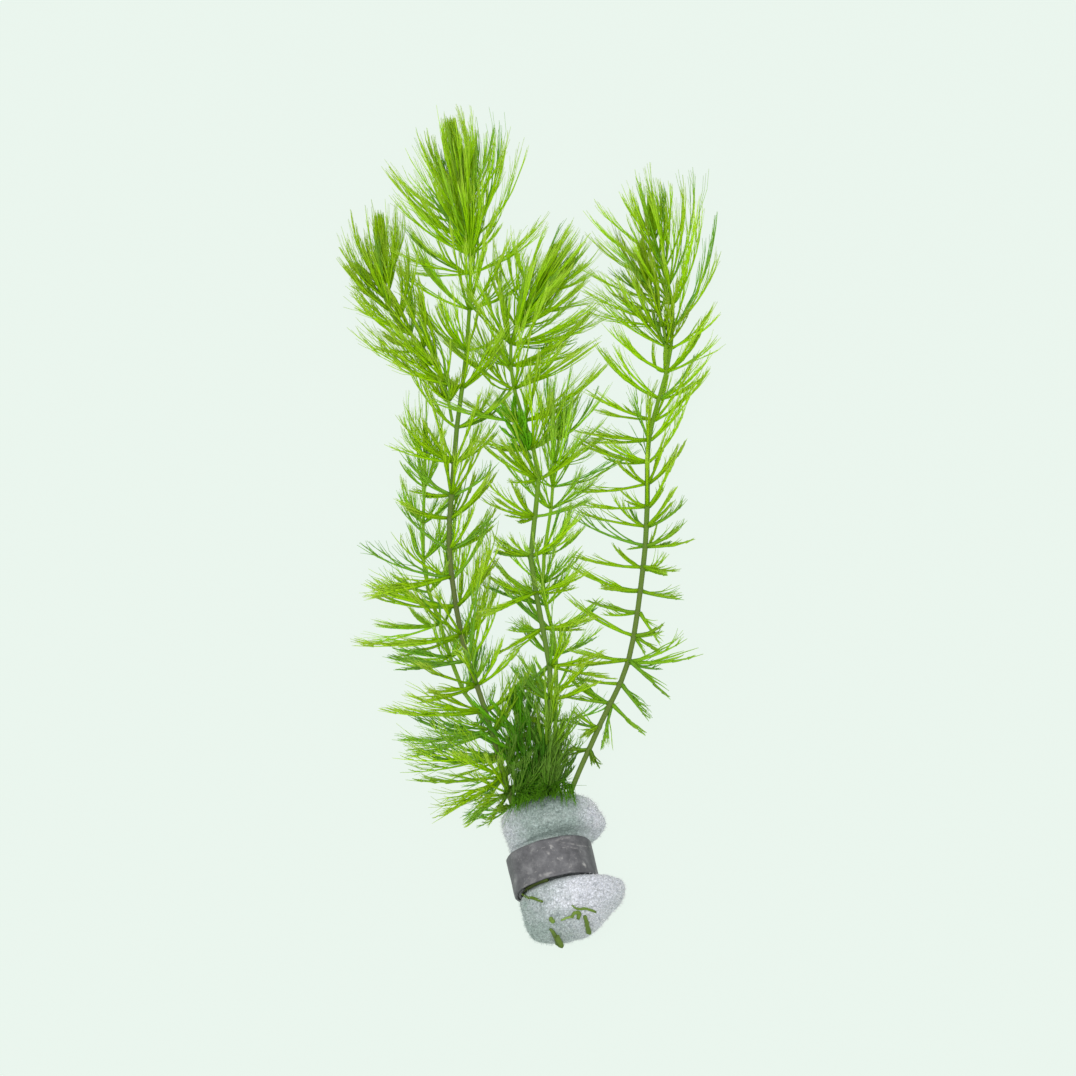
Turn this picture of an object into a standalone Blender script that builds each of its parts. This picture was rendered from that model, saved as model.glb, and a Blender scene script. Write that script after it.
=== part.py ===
"""A bunch of hornwort lying on a surface: cut stems with whorls of leaves, held at the base by a roll
of filter foam and a soft metal strip. The growing tips point along +Y and the surface is at Z = 0.
The origin is on the surface, under the middle of the strip.
"""

import math

import bpy
import numpy as np

# Driving dimensions, in millimetres
MM = 0.001
STRIP_WIDTH = 10.4
STRIP_THICKNESS = 0.9
STRIP_HALF_WIDTH = 10.65
STRIP_OFFSET = 0.45
STRIP_TOP = 20.6
STRIP_LAP = 10.0
LAP_GAP = 0.15
FIT_GAP = 0.3
STEM_RADIUS = 0.75
THIN_STEM_RADIUS = 0.6
SHOOT_RADIUS = 0.5
TIP_RADIUS = 0.4
BUD_RADIUS = 1.5
WHORL_BAND = 0.8
LEAF_HALF_WIDTH = 0.5
LEAF_HALF_THICKNESS = 0.34
LEAF_ROOT_ROOM = 0.45
LEAF_ROOM = 0.6
LEAF_TIP_ROOM = 0.05
SURFACE_CLEARANCE = 0.75
TIP_CLEARANCE = 0.12

# Degrees
ROLL_TURN = 12.5
LAP_START = 155.0
TWIST_JITTER = 12.0
TURN_JITTER = 12.0
LEAN_JITTER = 13.0
VIEW_SLANT = 20.0

# Shares: of a stem's height where it starts to narrow, of its radius where a leaf starts, of a step
# along a leaf that may go up or down, and of its whorl's leaf length that a leaf has, give or take
TAPER_START = 0.55
ROOT_DEPTH = 0.9
STEEPEST = 0.9
LENGTH_SHARE = 0.9
LENGTH_JITTER = 0.14

# A leaf whose tip is given turns out of the level only by this share of its place round the stem. It
# curls by so many degrees from root to tip: much where it points up the stem, not where it hangs.
FLATTENING = 0.5
CURL_LEANS = (60, 120)
CURLS = (32, 0)

LINE_SAMPLES = 12
LEAF_STEPS = 8
STRIP_STEPS = 34
STRIP_ROUNDNESS = 1.04
LAP_RISE = 0.5
FOAM_SIDES = 22

# What a leaf does that would touch another one: turn about its stem by so many degrees, or stay short
LEAF_TURNS = (0, 8, -8, 15, -15, 22, -22)
LEAF_LENGTHS = (1.0, 0.8, 0.6, 0.42, 0.26)

# The bud at a growing tip: share of its length, share of its radius
BUD_PROFILE = ((0.15, 0.6), (0.35, 1.0), (0.7, 0.75))

# Where along a leafy stem, from its lowest whorl to its highest, the leaf sizes below are given
STATIONS = (0.0, 0.12, 0.33, 0.55, 0.85, 1.0)

# Each stem: a smooth line through its points (x, y, z), from the cut or forked end, and the y of each
# whorl. Along STATIONS it has the leaves' length, their angle to the stem at the root and at the tip,
# bias, which opens the leaves on the left (-x) side by that angle and closes those on the right, and
# the share of leaves that are missing. tips holds, for some whorls, the (x, y) that single leaves
# reach, seen VIEW_SLANT degrees off the upright from the cut ends.
STEMS = {
    "left_stem": {
        "line": [(2.3, -20.9, 10.2), (0.8, -18.3, 13), (-0.6, -9, 11.9), (-2.4, -0.5, 11.6),
                 (-9.8, 15, 12), (-17.7, 43.5, 12), (-22.1, 57, 12), (-25.2, 72, 11.5),
                 (-27, 90, 11), (-26, 108, 11),
                 (-25, 122, 10.5), (-22.6, 143, 10), (-21.6, 166, 9.5), (-23.4, 184.5, 9.5),
                 (-26.8, 208.7, 9.5)],
        "whorls": [17, 20.5, 25, 31, 37, 43, 50, 57, 64, 72, 80, 88, 96.5, 103, 112, 122, 133, 143.5,
                   155, 165, 170.5, 174.5, 179, 183.5, 188],
        "sides": 6, "radius": STEM_RADIUS, "bud": 18, "seed": 1,
        "length": (17, 25, 29, 21, 30, 24), "root": (84, 78, 76, 62, 70, 30),
        "tip": (84, 62, 56, 40, 30, 5), "bias": (22, 24, 24, 10, 10, 0),
        "missing": (0.1, 0.3, 0.5, 0.45, 0.35, 0.2),
        "tips": {
            24: [(-29, 207), (-25, 212)], 23: [(-36, 206), (-33, 206), (-20, 209)],
            22: [(-43, 195), (-39, 200), (-15, 204)],
            21: [(-45, 195), (-14, 208), (-12, 205), (-7, 199)], 20: [(-43, 187), (-13, 184)],
            19: [(-44, 172), (-40, 179), (-1, 182), (-1, 178)], 18: [(-43, 168), (-38, 176), (-3, 167)],
            17: [(-35, 158), (-30, 160), (-5, 153)], 16: [(-54, 150), (-43, 139), (-44, 152), (-11, 152)],
            15: [(-39, 130), (-39, 143), (-10, 134)], 14: [(-44, 117), (-39, 129), (-14, 124)],
            13: [(-40, 115), (-38, 104), (-14, 112)], 12: [(-41, 101), (-14, 110)],
            11: [(-41, 101), (-14, 100), (-20, 101)], 10: [(-51, 89), (-42, 93), (-50, 74), (-16, 98)],
            9: [(-50, 78), (-49, 76), (-14, 96)], 8: [(-52, 61), (-40, 58), (-16, 83)],
            7: [(-44, 58), (-42, 54), (-14, 75)], 6: [(-33, 48), (-35, 45), (-8, 61)],
            5: [(-44, 44), (-46, 43), (-6, 54)], 4: [(-42, 35), (-39, 32), (-37, 42)],
            3: [(-42, 30), (-39, 26), (-35, 32)], 2: [(-31, 12), (-39, 24), (-28, 14)],
            1: [(-23, 12), (-20, 15)], 0: [(-16, 15)]}},
    "left_shoot": {
        "line": [(-26.2, 123.2, 11.0), (-28.9, 135.6, 11), (-35.1, 145.6, 10.5),
                 (-41.4, 152.6, 10), (-44.2, 160, 9.5), (-44.7, 169.5, 9.5), (-45.5, 182.2, 9.5)],
        "whorls": [129, 134, 139.5, 144, 148, 151.5, 155, 158.5, 162],
        "sides": 5, "radius": SHOOT_RADIUS, "bud": 19, "seed": 2,
        "length": (10, 12, 17, 20, 22, 19), "root": (50, 50, 46, 42, 34, 22),
        "tip": (30, 28, 20, 12, 4, 0), "bias": (-8, -8, -6, -4, 0, 0),
        "missing": (0.2, 0.2, 0.1, 0, 0, 0),
        "tips": {
            6: [(-48, 178), (-40, 177)], 5: [(-50, 176), (-39, 175)], 4: [(-53, 164), (-51, 169), (-38, 170)],
            3: [(-53, 160), (-37, 165)], 2: [(-36, 159)], 1: [(-33, 154)]}},
    "left_back_stem": {
        "line": [(1.9, -17, 8.5), (-2.4, -0.5, 8.9), (-7, 16.5, 8.5), (-14, 36, 7),
                 (-23.7, 51.4, 6.2), (-28.9, 67.5, 6), (-33, 81, 6), (-33.8, 92, 6),
                 (-33.3, 115, 6), (-33.3, 125, 6)],
        "whorls": [24, 32, 40, 50, 60, 69, 78, 87, 97, 107, 115],
        "sides": 5, "radius": THIN_STEM_RADIUS, "bud": 7, "seed": 3,
        "length": (16, 19, 20, 15, 13, 11), "root": (84, 84, 78, 66, 50, 30),
        "tip": (84, 70, 58, 44, 26, 8), "bias": (14, 14, 10, 4, 0, 0),
        "missing": (0.1, 0.3, 0.3, 0.2, 0.1, 0),
        "tips": {5: [(-52, 63)], 8: [(-40, 110)], 9: [(-40, 114)], 10: [(-39, 128)]}},
    "short_stem": {
        "line": [(5.5, -17, 9.5), (0, 0, 8.3), (-3.6, 16.5, 9.2), (-6, 25, 11), (-8.5, 36, 12.6),
                 (-9.5, 47, 13)],
        "whorls": [18, 22, 27, 32, 37, 42],
        "sides": 5, "radius": THIN_STEM_RADIUS, "bud": 5, "seed": 4,
        "length": (14, 17, 17, 16, 15, 12), "root": (24, 40, 50, 54, 46, 30),
        "tip": (4, 10, 18, 20, 16, 6), "bias": (4, 4, 4, 4, 4, 4),
        "missing": (0, 0, 0, 0, 0, 0), "tips": {}},
    "middle_stem": {
        "line": [(4.3, -17, 13.3), (0, 0, 12.3), (-2.1, 17.5, 13.6), (-0.8, 45, 14), (-1, 55, 14),
                 (-4.4, 75, 13), (-5.7, 86, 12.5), (-3.8, 106, 12), (-5.2, 115.5, 12),
                 (-10.1, 132, 12), (-10.9, 144.5, 12), (-8, 152.5, 12), (-3, 161, 11.5),
                 (0.8, 173, 11)],
        "whorls": [19, 25, 31, 38, 45.5, 54.5, 65, 75, 85.5, 96.5, 107, 115.5, 123, 132, 138.5, 144.5,
                   149.5, 154, 158],
        "sides": 6, "radius": STEM_RADIUS, "bud": 14, "seed": 5,
        "length": (15, 17, 18, 19, 29, 24), "root": (22, 62, 74, 68, 64, 30),
        "tip": (4, 40, 52, 46, 42, 12), "bias": (0, 0, 4, 0, -8, -8),
        "missing": (0, 0.2, 0.45, 0.4, 0.2, 0),
        "tips": {
            18: [(-11, 178), (2, 173)], 17: [(-12, 177), (9, 173)], 16: [(-15, 173), (11, 165)],
            15: [(-18, 163), (14, 157), (15, 153)], 14: [(-17, 145), (13, 156)], 13: [(12, 145)],
            12: [(15, 139)], 11: [(-20, 118)], 10: [(-20, 118), (-12, 106)],
            9: [(-18, 107), (-11, 107), (-13, 97)], 8: [(-16, 89), (-16, 91)],
            7: [(-17, 80), (-17, 85), (-19, 67), (10, 81)], 6: [(-16, 57), (12, 68)],
            5: [(-12, 45), (14, 56), (17, 51)]}},
    "middle_shoot": {
        "line": [(-5.6, 112, 13.4), (-8, 116, 15), (-9.9, 121.5, 15.8), (-10.2, 129, 16)],
        "whorls": [114, 116.5, 119, 121.5],
        "sides": 5, "radius": SHOOT_RADIUS, "bud": 7, "seed": 6,
        "length": (7, 8, 8, 9, 9, 7), "root": (48, 48, 46, 44, 36, 20),
        "tip": (14, 14, 12, 12, 10, 4), "bias": (0, 0, 0, 0, 0, 0),
        "missing": (0, 0, 0, 0, 0, 0), "tips": {}},
    "middle_back_stem": {
        "line": [(7.6, -17, 8), (2.4, 0.5, 8.9), (0.2, 17, 8), (0.8, 50, 6.4), (0.4, 64, 6),
                 (-2.3, 77, 6), (-2.3, 88, 6), (-0.5, 101, 6), (0.5, 113.5, 6), (3.4, 129, 6)],
        "whorls": [24, 33, 42, 51, 60.5, 67.5, 74.5, 80.5, 88.5, 101, 107, 113.5, 120],
        "sides": 5, "radius": THIN_STEM_RADIUS, "bud": 8, "seed": 7,
        "length": (13, 16, 17, 19, 26, 21), "root": (46, 70, 68, 62, 58, 40),
        "tip": (20, 46, 46, 42, 40, 24), "bias": (-6, -6, -6, -8, -10, -10),
        "missing": (0, 0.3, 0.4, 0.3, 0.1, 0),
        "tips": {
            12: [(12, 135), (16, 136), (-1, 139)], 11: [(15, 123)], 9: [(8, 112)], 8: [(5, 103)],
            7: [(8, 89)], 5: [(13, 76)]}},
    "right_stem": {
        "line": [(8.4, -17, 12.1), (2.4, 0.5, 11.6), (3.5, 17, 12), (11.7, 38, 12),
                 (19.5, 57, 11), (23.4, 83, 10.5), (24.5, 100, 10), (25, 118.5, 10),
                 (29.6, 137.5, 10), (31, 147, 10), (31.2, 156.5, 10), (28.9, 166.6, 9.5),
                 (26.5, 175.5, 9.5), (25.4, 187, 9.5)],
        "whorls": [20, 26, 32, 38.3, 45, 50.5, 57, 64, 70.5, 76.5, 83, 89, 94.5, 100, 106.5, 112.5,
                   118.5, 124, 130, 137.5, 144, 150, 156.5, 162, 166.5, 171, 175],
        "sides": 6, "radius": STEM_RADIUS, "bud": 10, "seed": 8,
        "length": (9, 12, 14, 17, 31, 21), "root": (60, 94, 84, 60, 54, 30),
        "tip": (50, 98, 80, 42, 22, 8), "bias": (-4, -10, -4, 22, 12, 6),
        "missing": (1, 1, 0.9, 0.5, 0.35, 0.2),
        "tips": {
            26: [(20, 189), (17, 188), (29, 190)], 25: [(11, 186), (30, 191)],
            24: [(8, 183), (34, 193)], 23: [(8, 176), (37, 196)], 22: [(6, 168), (39, 186)],
            21: [(6, 162), (44, 171), (43, 182)], 20: [(9, 160), (43, 157), (44, 154)],
            19: [(13, 151), (44, 147), (40, 152)], 18: [(10, 146), (16, 145), (42, 143)],
            17: [(8, 132), (18, 128), (8, 121), (41, 139)], 16: [(5, 121), (7, 118), (38, 136)],
            15: [(12, 118), (6, 118), (35, 129)], 14: [(16, 113), (4, 104), (35, 119)],
            13: [(17, 105), (5, 101), (29, 108)], 12: [(3, 100), (15, 104), (35, 102)],
            11: [(2, 99), (19, 88), (37, 91), (35, 96)], 10: [(5, 86), (15, 90), (33, 82), (30, 81)],
            9: [(3, 84), (12, 77), (34, 74)], 8: [(8, 74), (28, 61)], 7: [(3, 75), (28, 59), (29, 67)],
            6: [(3, 60), (6, 55), (39, 59), (31, 46), (28, 55)], 5: [(5, 52), (25, 40)],
            4: [(1, 47), (2, 54), (24, 36), (12, 32)], 3: [(1, 41), (7, 35)], 2: [(12, 27), (2, 32)],
            0: [(7, 18)]}},
    "right_shoot": {
        "line": [(29.5, 139.2, 11.6), (29.4, 144, 13.4), (28.4, 150, 14.6), (26.3, 156.5, 14.8),
                 (24.2, 165, 14.2), (22.6, 173, 13.6)],
        "whorls": [144, 148.5, 152.5, 156.5, 160],
        "sides": 5, "radius": SHOOT_RADIUS, "bud": 12, "seed": 9,
        "length": (12, 13, 15, 16, 17, 13), "root": (46, 46, 44, 44, 40, 24),
        "tip": (18, 18, 18, 16, 14, 4), "bias": (4, 4, 4, 4, 4, 4),
        "missing": (0, 0, 0, 0, 0, 0), "tips": {}},
}

# The foam roll's outside and the way through it: distance along the roll, offset to its right,
# half width, middle height and half height
FOAM_SECTIONS = [
    (-18.6, 0.8, 8.2, 11.0, 7.2), (-17.2, 0.3, 9.4, 11.2, 9.2), (-15.3, 0.6, 10.7, 11.4, 10.7),
    (-13.4, 1.9, 12.3, 11.5, 11.5), (-11.2, 2.9, 13.3, 11.6, 12.0), (-8.0, 3.2, 13.4, 11.6, 12.0),
    (-6.3, 1.9, 11.3, 10.8, 9.9), (-5.5, 0.45, 9.4, 10.2, 8.4), (5.5, 0.45, 9.4, 10.3, 8.7),
    (6.4, 1.6, 11.0, 10.8, 10.2), (9.2, 2.9, 12.8, 11.6, 12.0), (12.6, 2.3, 12.7, 11.6, 12.1),
    (15.4, 1.8, 12.0, 11.4, 10.8), (16.5, 1.0, 10.4, 11.2, 8.8)]
CHANNEL_SECTIONS = [
    (16.5, 0.2, 8.6, 11.2, 6.8), (6.0, -0.2, 5.8, 10.4, 4.8), (0.0, 0.0, 4.2, 10.2, 3.7),
    (-9.0, 1.2, 6.0, 10.8, 5.2), (-18.6, 1.3, 6.6, 11.2, 5.8)]


def chance(seed, whorl, leaf, channel):
    """A fixed number from -1 to 1 for each leaf and use."""
    wave = math.sin(seed * 12.9898 + whorl * 78.233 + leaf * 37.719 + channel * 9.131) * 43758.5453
    return 2 * (wave - math.floor(wave)) - 1


def smooth_line(points):
    """Points close together on a smooth curve through the given ones."""
    points = np.array(points, float)
    padded = np.vstack([2 * points[0] - points[1], points, 2 * points[-1] - points[-2]])
    samples = []
    for a, b, c, d in zip(padded, padded[1:], padded[2:], padded[3:]):
        for t in np.linspace(0, 1, LINE_SAMPLES, endpoint=False):
            curve = 2 * b + (c - a) * t + (2 * a - 5 * b + 4 * c - d) * t**2
            samples.append(0.5 * (curve + (3 * b - a - 3 * c + d) * t**3))
    return np.array(samples + [points[-1]])


def place(line, y):
    """The point of a stem's line at y, its direction there and the two axes across it."""
    point = np.array([np.interp(y, line[:, 1], line[:, k]) for k in range(3)])
    ahead = np.array([np.interp(y + 1, line[:, 1], line[:, k]) for k in range(3)])
    behind = np.array([np.interp(y - 1, line[:, 1], line[:, k]) for k in range(3)])
    along = (ahead - behind) / np.linalg.norm(ahead - behind)
    side = np.cross(along, (0, 0, 1))
    side /= np.linalg.norm(side)
    return point, along, side, np.cross(along, side)


def at_station(stem, whorl, key):
    """One of a stem's leaf sizes at a whorl."""
    lowest, highest = stem["whorls"][0], stem["whorls"][-1]
    height = (stem["whorls"][whorl] - lowest) / (highest - lowest)
    return np.interp(height, STATIONS, stem[key])


def whorl_twist(stem, whorl):
    """Whorls sit half a leaf round from each other, not quite evenly, in degrees."""
    half_leaf = 180 / stem["sides"]
    return half_leaf * (whorl % 2) + TWIST_JITTER * chance(stem["seed"], whorl, 0, 1)


def leaf_turn(stem, whorl, leaf):
    """Where a leaf stands round its stem, in degrees from the stem's right side."""
    jitter = TURN_JITTER * chance(stem["seed"], whorl, leaf, 2)
    return 360 / stem["sides"] * leaf + whorl_twist(stem, whorl) + jitter


def leaf_tips(stem, line, whorl):
    """The leaves of a whorl that reach its given tips: for each tip the flattest one on its side."""
    point, _, side, _ = place(line, stem["whorls"][whorl])
    taken = {}
    for x, y in stem["tips"].get(whorl, []):
        outward = np.sign((np.array((x, y, point[2])) - point) @ side)
        facing = {}
        for leaf in range(stem["sides"]):
            if leaf not in taken:
                facing[leaf] = outward * math.cos(math.radians(leaf_turn(stem, whorl, leaf)))
        flattest = max(facing, key=facing.get)
        if facing[flattest] > 0:
            taken[flattest] = (x, y)
    return taken


def leaf_grows(stem, whorl, leaf):
    """Whether an ordinary leaf is there: old whorls have lost some."""
    return chance(stem["seed"], whorl, leaf, 7) > 2 * at_station(stem, whorl, "missing") - 1


def lean_to_tip(tip, point, along, side, radial, root_radius):
    """A leaf's length and its angles to the stem, at the root and the tip, that take it to a tip."""
    offset = np.array((*tip, point[2])) - point
    outward = offset @ side / (radial @ side)
    rise = max(outward * radial[2], TIP_CLEARANCE - point[2])
    outward -= root_radius
    ahead = offset @ along - rise * math.tan(math.radians(VIEW_SLANT))
    middle = math.degrees(math.atan2(outward, ahead))
    curl = np.interp(middle, CURL_LEANS, CURLS)
    length = math.hypot(outward, ahead) / np.sinc(curl / 360)
    return length, middle + curl / 2, middle - curl / 2


def leaf_points(stem, line, whorl, leaf, tip, turn, share):
    """A leaf's middle line, from its root out and up the stem. It bends along the surface."""
    seed = stem["seed"]
    point, along, side, down = place(line, stem["whorls"][whorl])
    round_stem = leaf_turn(stem, whorl, leaf)
    if tip:
        level = 180 * round(round_stem / 180)
        round_stem = level + (round_stem - level) * FLATTENING
    round_stem = math.radians(round_stem + turn)
    radial = side * math.cos(round_stem) + down * math.sin(round_stem)
    root_radius = stem["radius"] * ROOT_DEPTH
    if tip:
        length, root_lean, tip_lean = lean_to_tip(tip, point, along, side, radial, root_radius)
    else:
        spread = LEAN_JITTER * chance(seed, whorl, leaf, 3) - at_station(stem, whorl, "bias") * radial[0]
        root_lean = at_station(stem, whorl, "root") + spread
        tip_lean = at_station(stem, whorl, "tip") + spread
        length = at_station(stem, whorl, "length")
        length *= LENGTH_SHARE + LENGTH_JITTER * chance(seed, whorl, leaf, 4)
    step = length * share / LEAF_STEPS
    points = [point + radial * root_radius]
    for number in range(LEAF_STEPS):
        reach = (number + 1) / LEAF_STEPS
        lean = math.radians(root_lean + (tip_lean - root_lean) * (number + 0.5) / LEAF_STEPS)
        move = (radial * math.sin(lean) + along * math.cos(lean)) * step
        lowest = SURFACE_CLEARANCE + (TIP_CLEARANCE - SURFACE_CLEARANCE) * reach
        rise = max(points[-1][2] + move[2], lowest) - points[-1][2]
        rise = min(max(rise, -STEEPEST * step), STEEPEST * step)
        flat = move[:2] / np.linalg.norm(move[:2])
        run = math.sqrt(step**2 - rise**2)
        points.append(points[-1] + np.array([flat[0] * run, flat[1] * run, rise]))
    return np.array(points)


class Crowd:
    """The tapered pieces placed so far, for keeping new ones clear of them."""

    def __init__(self):
        self.starts = np.empty((0, 3))
        self.ends = np.empty((0, 3))
        self.radii = np.empty((0, 2))
        self.owners = np.empty(0, int)

    def add(self, start, end, start_radius, end_radius, owner):
        self.starts = np.vstack([self.starts, start])
        self.ends = np.vstack([self.ends, end])
        self.radii = np.vstack([self.radii, (start_radius, end_radius)])
        self.owners = np.append(self.owners, owner)

    def clear(self, start, end, start_radius, end_radius, kin):
        """Whether a tapered piece keeps its gap to all the others but its kin."""
        others = ~np.isin(self.owners, kin)
        if not others.any():
            return True
        firsts, lasts, radii = self.starts[others], self.ends[others], self.radii[others]
        reach, spans, apart = end - start, lasts - firsts, start - firsts
        a = reach @ reach
        e = (spans * spans).sum(1)
        b = spans @ reach
        c = apart @ reach
        f = (spans * apart).sum(1)
        s = np.clip((b * f - c * e) / np.maximum(a * e - b * b, 1e-9), 0, 1)
        t = np.clip((b * s + f) / e, 0, 1)
        s = np.clip((b * t - c) / a, 0, 1)
        gap = np.linalg.norm(apart + s[:, None] * reach - t[:, None] * spans, axis=1)
        own = start_radius + (end_radius - start_radius) * s
        theirs = radii[:, 0] + (radii[:, 1] - radii[:, 0]) * t
        return bool((gap - own - theirs > FIT_GAP).all())


def stem_radius(stem, y):
    """A stem narrows towards its growing tip."""
    top = stem["whorls"][-1]
    return np.interp(y, (TAPER_START * top, top), (stem["radius"], TIP_RADIUS))


def add_stems(crowd, lines):
    """Every stem takes its room before any leaf does."""
    for name, stem in STEMS.items():
        for a, b in zip(lines[name], lines[name][1:]):
            crowd.add(a, b, stem_radius(stem, a[1]), stem_radius(stem, b[1]), stem["seed"])
        tip = lines[name][-1]
        bud_foot = place(lines[name], tip[1] - stem["bud"])[0]
        crowd.add(bud_foot, tip, BUD_RADIUS, TIP_RADIUS, stem["seed"])


def clear_of_roll(*corners):
    """Whether the straight pieces between these points stay out of the foam roll."""
    samples = np.vstack([np.linspace(a, b, LEAF_STEPS) for a, b in zip(corners, corners[1:])])
    turn = math.radians(ROLL_TURN)
    along = samples[:, 1] * math.cos(turn) - samples[:, 0] * math.sin(turn)
    right = samples[:, 0] * math.cos(turn) + samples[:, 1] * math.sin(turn)
    room = LEAF_ROOM + FIT_GAP
    _, middle_right, half_width, middle_height, half_height = FOAM_SECTIONS[-3]
    beside = (right - middle_right) / (half_width + room)
    above = (samples[:, 2] - middle_height) / (half_height + room)
    return bool(((along > FOAM_SECTIONS[-1][0] + room) | (np.hypot(beside, above) > 1)).all())


def settle_leaf(crowd, stem, line, whorl, leaf, tip):
    """A leaf's middle line, turned or shortened until it is clear of its neighbours. None if it can't."""
    owner = stem["seed"]
    whorl_owner = 1000 * owner + whorl
    for share in LEAF_LENGTHS:
        for turn in LEAF_TURNS:
            points = leaf_points(stem, line, whorl, leaf, tip, turn, share)
            root, middle, end = points[0], points[LEAF_STEPS // 2], points[-1]
            first = (root, middle, LEAF_ROOT_ROOM, LEAF_ROOM)
            second = (middle, end, LEAF_ROOM, LEAF_TIP_ROOM)
            free = crowd.clear(*first, (owner, whorl_owner)) and crowd.clear(*second, (whorl_owner,))
            if free and clear_of_roll(root, middle, end):
                crowd.add(*first, whorl_owner)
                crowd.add(*second, whorl_owner)
                return points
    return None


def settle_leaves(lines):
    """Every leaf's middle line by stem, whorl and place. Those whose tips are given come first."""
    crowd = Crowd()
    add_stems(crowd, lines)
    settled = {name: {} for name in STEMS}
    ordinary = []
    for name, stem in STEMS.items():
        for whorl in range(len(stem["whorls"])):
            tips = leaf_tips(stem, lines[name], whorl)
            for leaf in range(stem["sides"]):
                if leaf in tips:
                    points = settle_leaf(crowd, stem, lines[name], whorl, leaf, tips[leaf])
                    settled[name][whorl, leaf] = points
                elif leaf_grows(stem, whorl, leaf):
                    ordinary.append((name, whorl, leaf))
    for name, whorl, leaf in ordinary:
        settled[name][whorl, leaf] = settle_leaf(crowd, STEMS[name], lines[name], whorl, leaf, None)
    return settled


def material(name, colour, roughness, metallic=0.0):
    made = bpy.data.materials.new(name)
    made.use_nodes = True
    shader = made.node_tree.nodes["Principled BSDF"]
    shader.inputs["Base Color"].default_value = (*colour, 1)
    shader.inputs["Roughness"].default_value = roughness
    shader.inputs["Metallic"].default_value = metallic
    return made


def make_object(name, points, faces, finish, smooth_angle=None):
    """One named object from points in millimetres."""
    mesh = bpy.data.meshes.new(name)
    mesh.from_pydata([tuple(np.array(p) * MM) for p in points], [], faces)
    mesh.update()
    if smooth_angle:
        mesh.shade_smooth()
        mesh.set_sharp_from_angle(angle=math.radians(smooth_angle))
    mesh.materials.append(finish)
    made = bpy.data.objects.new(name, mesh)
    bpy.context.scene.collection.objects.link(made)
    return made


def stem_rings(stem, line):
    """(y, radius, twist, whorl below this ring or None) for each ring up the stem."""
    whorls = stem["whorls"]
    top = line[-1][1]
    bare = [y for _, y, _ in stem["line"] if y < whorls[0] - WHORL_BAND]
    rings = [(y, stem["radius"], whorl_twist(stem, 0), None) for y in bare]
    for number, y in enumerate(whorls):
        twist = whorl_twist(stem, number)
        radius = stem_radius(stem, y)
        rings.append((y - WHORL_BAND / 2, radius, twist, None))
        rings.append((y + WHORL_BAND / 2, radius, twist, number))
    bud_foot = max(top - stem["bud"], whorls[-1] + WHORL_BAND)
    for share, radius in BUD_PROFILE:
        y = bud_foot + (top - bud_foot) * share
        rings.append((y, BUD_RADIUS * radius, whorl_twist(stem, len(whorls) - 1), None))
    return rings


def make_stem(name, stem, line, leaves, finish):
    """A stem of flat-sided tube. At each whorl every side of a narrow band grows out into a leaf."""
    sides = stem["sides"]
    points, faces, previous = [], [], None
    for y, radius, twist, whorl in stem_rings(stem, line):
        centre, along, side, down = place(line, y)
        first = len(points)
        for corner in range(sides):
            turn = math.radians(360 / sides * (corner - 0.5) + twist)
            points.append(centre + radius * (side * math.cos(turn) + down * math.sin(turn)))
        ring = [first + corner for corner in range(sides)]
        if previous is None:
            faces.append(ring[::-1])
        else:
            for k in range(sides):
                after = (k + 1) % sides
                foot = [previous[k], previous[after], ring[after], ring[k]]
                leaf = leaves.get((whorl, k)) if whorl is not None else None
                if leaf is None:
                    faces.append(foot)
                else:
                    add_leaf(points, faces, foot, leaf, along)
        previous = ring
    points.append(line[-1])
    for k in range(sides):
        faces.append([previous[k], previous[(k + 1) % sides], len(points) - 1])
    return make_object(name, points, faces, finish)


def add_leaf(points, faces, foot, leaf, along):
    """A flattened spike on a stem's foot face, bent once in the middle."""
    middle, tip = leaf[LEAF_STEPS // 2], leaf[-1]
    heading = (tip - leaf[0]) / np.linalg.norm(tip - leaf[0])
    across = np.cross(along, heading)
    across /= np.linalg.norm(across)
    upward = np.cross(heading, across)
    first = len(points)
    for wide, high in ((-1, -1), (1, -1), (1, 1), (-1, 1)):
        points.append(middle + across * wide * LEAF_HALF_WIDTH + upward * high * LEAF_HALF_THICKNESS)
    ring = [first + k for k in range(4)]
    points.append(tip)
    for k in range(4):
        after = (k + 1) % 4
        faces.append([foot[k], foot[after], ring[after], ring[k]])
        faces.append([ring[k], ring[after], first + 4])


def roll_point(along, right, z):
    """A point given in the roll's own directions, turned with it."""
    turn = math.radians(ROLL_TURN)
    x = right * math.cos(turn) - along * math.sin(turn)
    y = right * math.sin(turn) + along * math.cos(turn)
    return np.array((x, y, z))


def make_foam(finish):
    """The roll: an outside and a way through for the stems, joined at both ends. It rests flat."""
    points, faces = [], []
    under_strip = STRIP_WIDTH / 2 + FIT_GAP
    for along, right, half_width, middle, half_height in FOAM_SECTIONS + CHANNEL_SECTIONS:
        floor = STRIP_THICKNESS + FIT_GAP if abs(along) <= under_strip else 0.0
        for k in range(FOAM_SIDES):
            turn = math.tau * k / FOAM_SIDES
            z = max(middle + half_height * math.sin(turn), floor)
            points.append(roll_point(along, right + half_width * math.cos(turn), z))
    total = len(FOAM_SECTIONS) + len(CHANNEL_SECTIONS)
    for ring in range(total):
        here, there = ring * FOAM_SIDES, (ring + 1) % total * FOAM_SIDES
        for k in range(FOAM_SIDES):
            after = (k + 1) % FOAM_SIDES
            faces.append([here + k, there + k, there + after, here + after])
    return make_object("foam_wrap", points, faces, finish, smooth_angle=50)


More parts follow.
